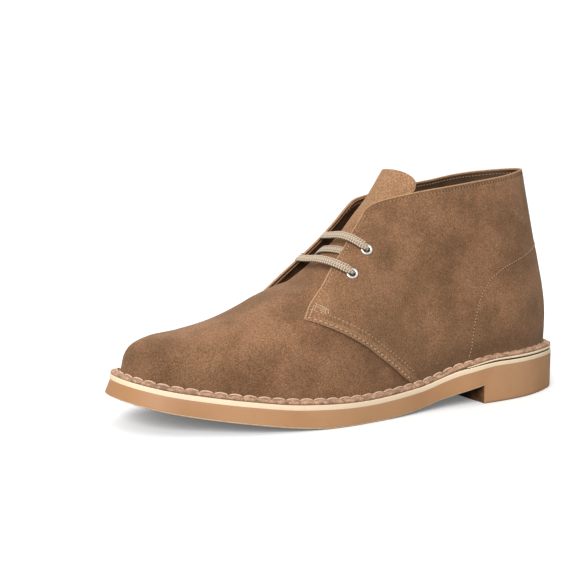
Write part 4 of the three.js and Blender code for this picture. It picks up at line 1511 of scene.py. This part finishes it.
def make_eyelets():
    """Rolled rims on short tubes; fine rings of points turned round each eyelet's own line."""
    profile = np.array(EYELET_TUBE + [(radius, FACE + rise) for radius, rise in EYELET_RIM])
    turns = np.linspace(0, 2 * math.pi, 56, endpoint=False)
    for row in EYELETS:
        middle, out, _, _, lift = eyelet_seat(row)
        grid = round_about(middle + out * lift, out, profile, turns)
        index = np.arange(grid[..., 0].size).reshape(grid.shape[:2])
        faces = grid_quads(np.vstack([index, index[:1]]), True, flip=True).tolist()
        name = row[0].replace("eyelet", "eyelet_rim")
        # painted shade: the bore's last rings are dark, standing for the shade inside the hole
        bore = np.repeat([0] * (len(profile) - 2) + [1, 1], len(turns))
        piece = add_mesh(name, grid, faces, [METAL, JOINT_AND_SHADE], bore)
        settle(keep_sharp(piece, 60), "eyelet_metal", row[0])


punch(quarters)
punch(lining)
make_eyelets()


# Lace -----------------------------------------------------------------------------------------

# Share of the way between two eyelets, height over the last in mm, rise in v.
BAR = [
    (0.07, 3.2, 0.018), (0.13, 3.5, 0.032), (0.25, 3.5, 0.058), (0.37, 2.9, 0.073),
    (0.48, 2.3, 0.074), (0.6, 2.3, 0.067), (0.72, 3.0, 0.059), (0.82, 3.6, 0.047),
    (0.91, 3.4, 0.026),
]
UNDER = [
    (0.12, -2.9, 0.03), (0.28, -3.1, 0.075), (0.45, -3.0, 0.092), (0.62, -3.0, 0.08),
    (0.76, -3.1, 0.05), (0.88, -2.9, 0.018),
]
IN_EYELET = (-1.0, 1.2, 2.4)  # heights over the last, on the way up through an eyelet
INSIDE = -3.6  # height over the last of the hidden runs along the lining


def between(a, b, share, height, bow=0.0):
    """A place on the way between two eyelets, over the last, and its outward direction."""
    w = a[2] + (b[2] - a[2]) * share
    v = a[3] + (b[3] - a[3]) * share + bow
    lift = a[4] + (b[4] - a[4]) * share
    return off_form(w, v, height + lift), form_normal(w, v)


def through(place, heights):
    """Places along an eyelet's own line."""
    middle, out, _, _, lift = place
    return [(middle + out * (h + lift), out) for h in heights]


def lace_stations():
    """The lace's middle line with its face direction, width share and thickness share."""
    outer_low, outer_top, inner_low, inner_top = (eyelet_seat(row) for row in EYELETS)
    stations = []

    def add(places, width=1.0, thick=1.0):
        for at, out in places:
            stations.append((*at, *out, width, thick))

    def stretch(a, b, rows):
        add(between(a, b, *row) for row in rows)

    def cross(a, b, below):
        """Up through an eyelet, over the boot in a bar, and down through the other one."""
        add(through(a, (below,)), 0.6, 1.3)
        add(through(a, IN_EYELET), 0.42, 1.25)
        stretch(a, b, BAR)
        add(through(b, IN_EYELET[::-1]), 0.42, 1.25)

    add(through(outer_top, (-3.2,)), 0.7, 1.1)
    add([between(outer_top, outer_low, share, INSIDE) for share in (0.25, 0.5, 0.75)], 0.9)
    cross(outer_low, inner_low, -3.0)
    add(through(inner_low, (-3.0,)), 0.6, 1.3)
    stretch(inner_low, outer_top, UNDER)
    cross(outer_top, inner_top, -3.4)
    add(through(inner_top, (-3.2,)), 0.6, 1.2)
    add([between(inner_top, inner_low, 0.3, INSIDE)], 0.8)
    return np.array(stations)


def resample(stations, step):
    dense = curve(stations, False, 4000)
    run = run_of(dense[:, :3])
    at = np.arange(0, run[-1], step)
    return at, np.column_stack([np.interp(at, run, dense[:, k]) for k in range(dense.shape[1])])


def make_lace():
    """The whole lace along its stations, with the weave's knuckles raised in its mesh."""
    run, line = resample(lace_stations(), 0.2)
    middle, out = line[:, :3], unit(line[:, 3:6])
    ahead = unit(np.gradient(middle, axis=0))
    across = unit(np.cross(ahead, out))
    lift = np.cross(across, ahead)
    corners = 56
    turn = (np.arange(corners) + 0.5) / corners * 2 * math.pi
    side = np.sign(np.cos(turn)) * np.abs(np.cos(turn)) ** 0.75
    high = np.sign(np.sin(turn)) * np.abs(np.sin(turn)) ** 0.7
    strand = (side[None, :] + 1) / 2 * WEAVE_ROWS
    phase = run[:, None] / WEAVE_PITCH + np.abs(side)[None, :] * 1.1 + np.floor(strand) * 0.5
    between_rows = np.abs(np.sin(math.pi * strand))
    knuckle = np.abs(np.sin(math.pi * phase)) ** 0.6 * (0.35 + 0.65 * between_rows ** 0.6)
    relief = WEAVE_RELIEF * (knuckle - 0.5)
    width = LACE_WIDTH / 2 * line[:, 6, None] * side[None, :]
    thick = LACE_THICK / 2 * line[:, 7, None] * high[None, :]
    points = (
        middle[:, None] + across[:, None] * (width + relief * side[None, :])[..., None]
        + lift[:, None] * (thick + relief * np.sign(high)[None, :])[..., None]
    )
    index = np.arange(points[..., 0].size).reshape(points.shape[:2])
    faces = grid_quads(index, True).tolist()
    faces += [index[0][::-1].tolist(), index[-1].tolist()]
    piece = add_mesh("lace", points, faces, [LACE])
    mark(piece, "weave", knuckle)
    return settle(piece, "lace", "lace_low_bar", "lace_top_bar", "lace_diagonal")


make_lace()
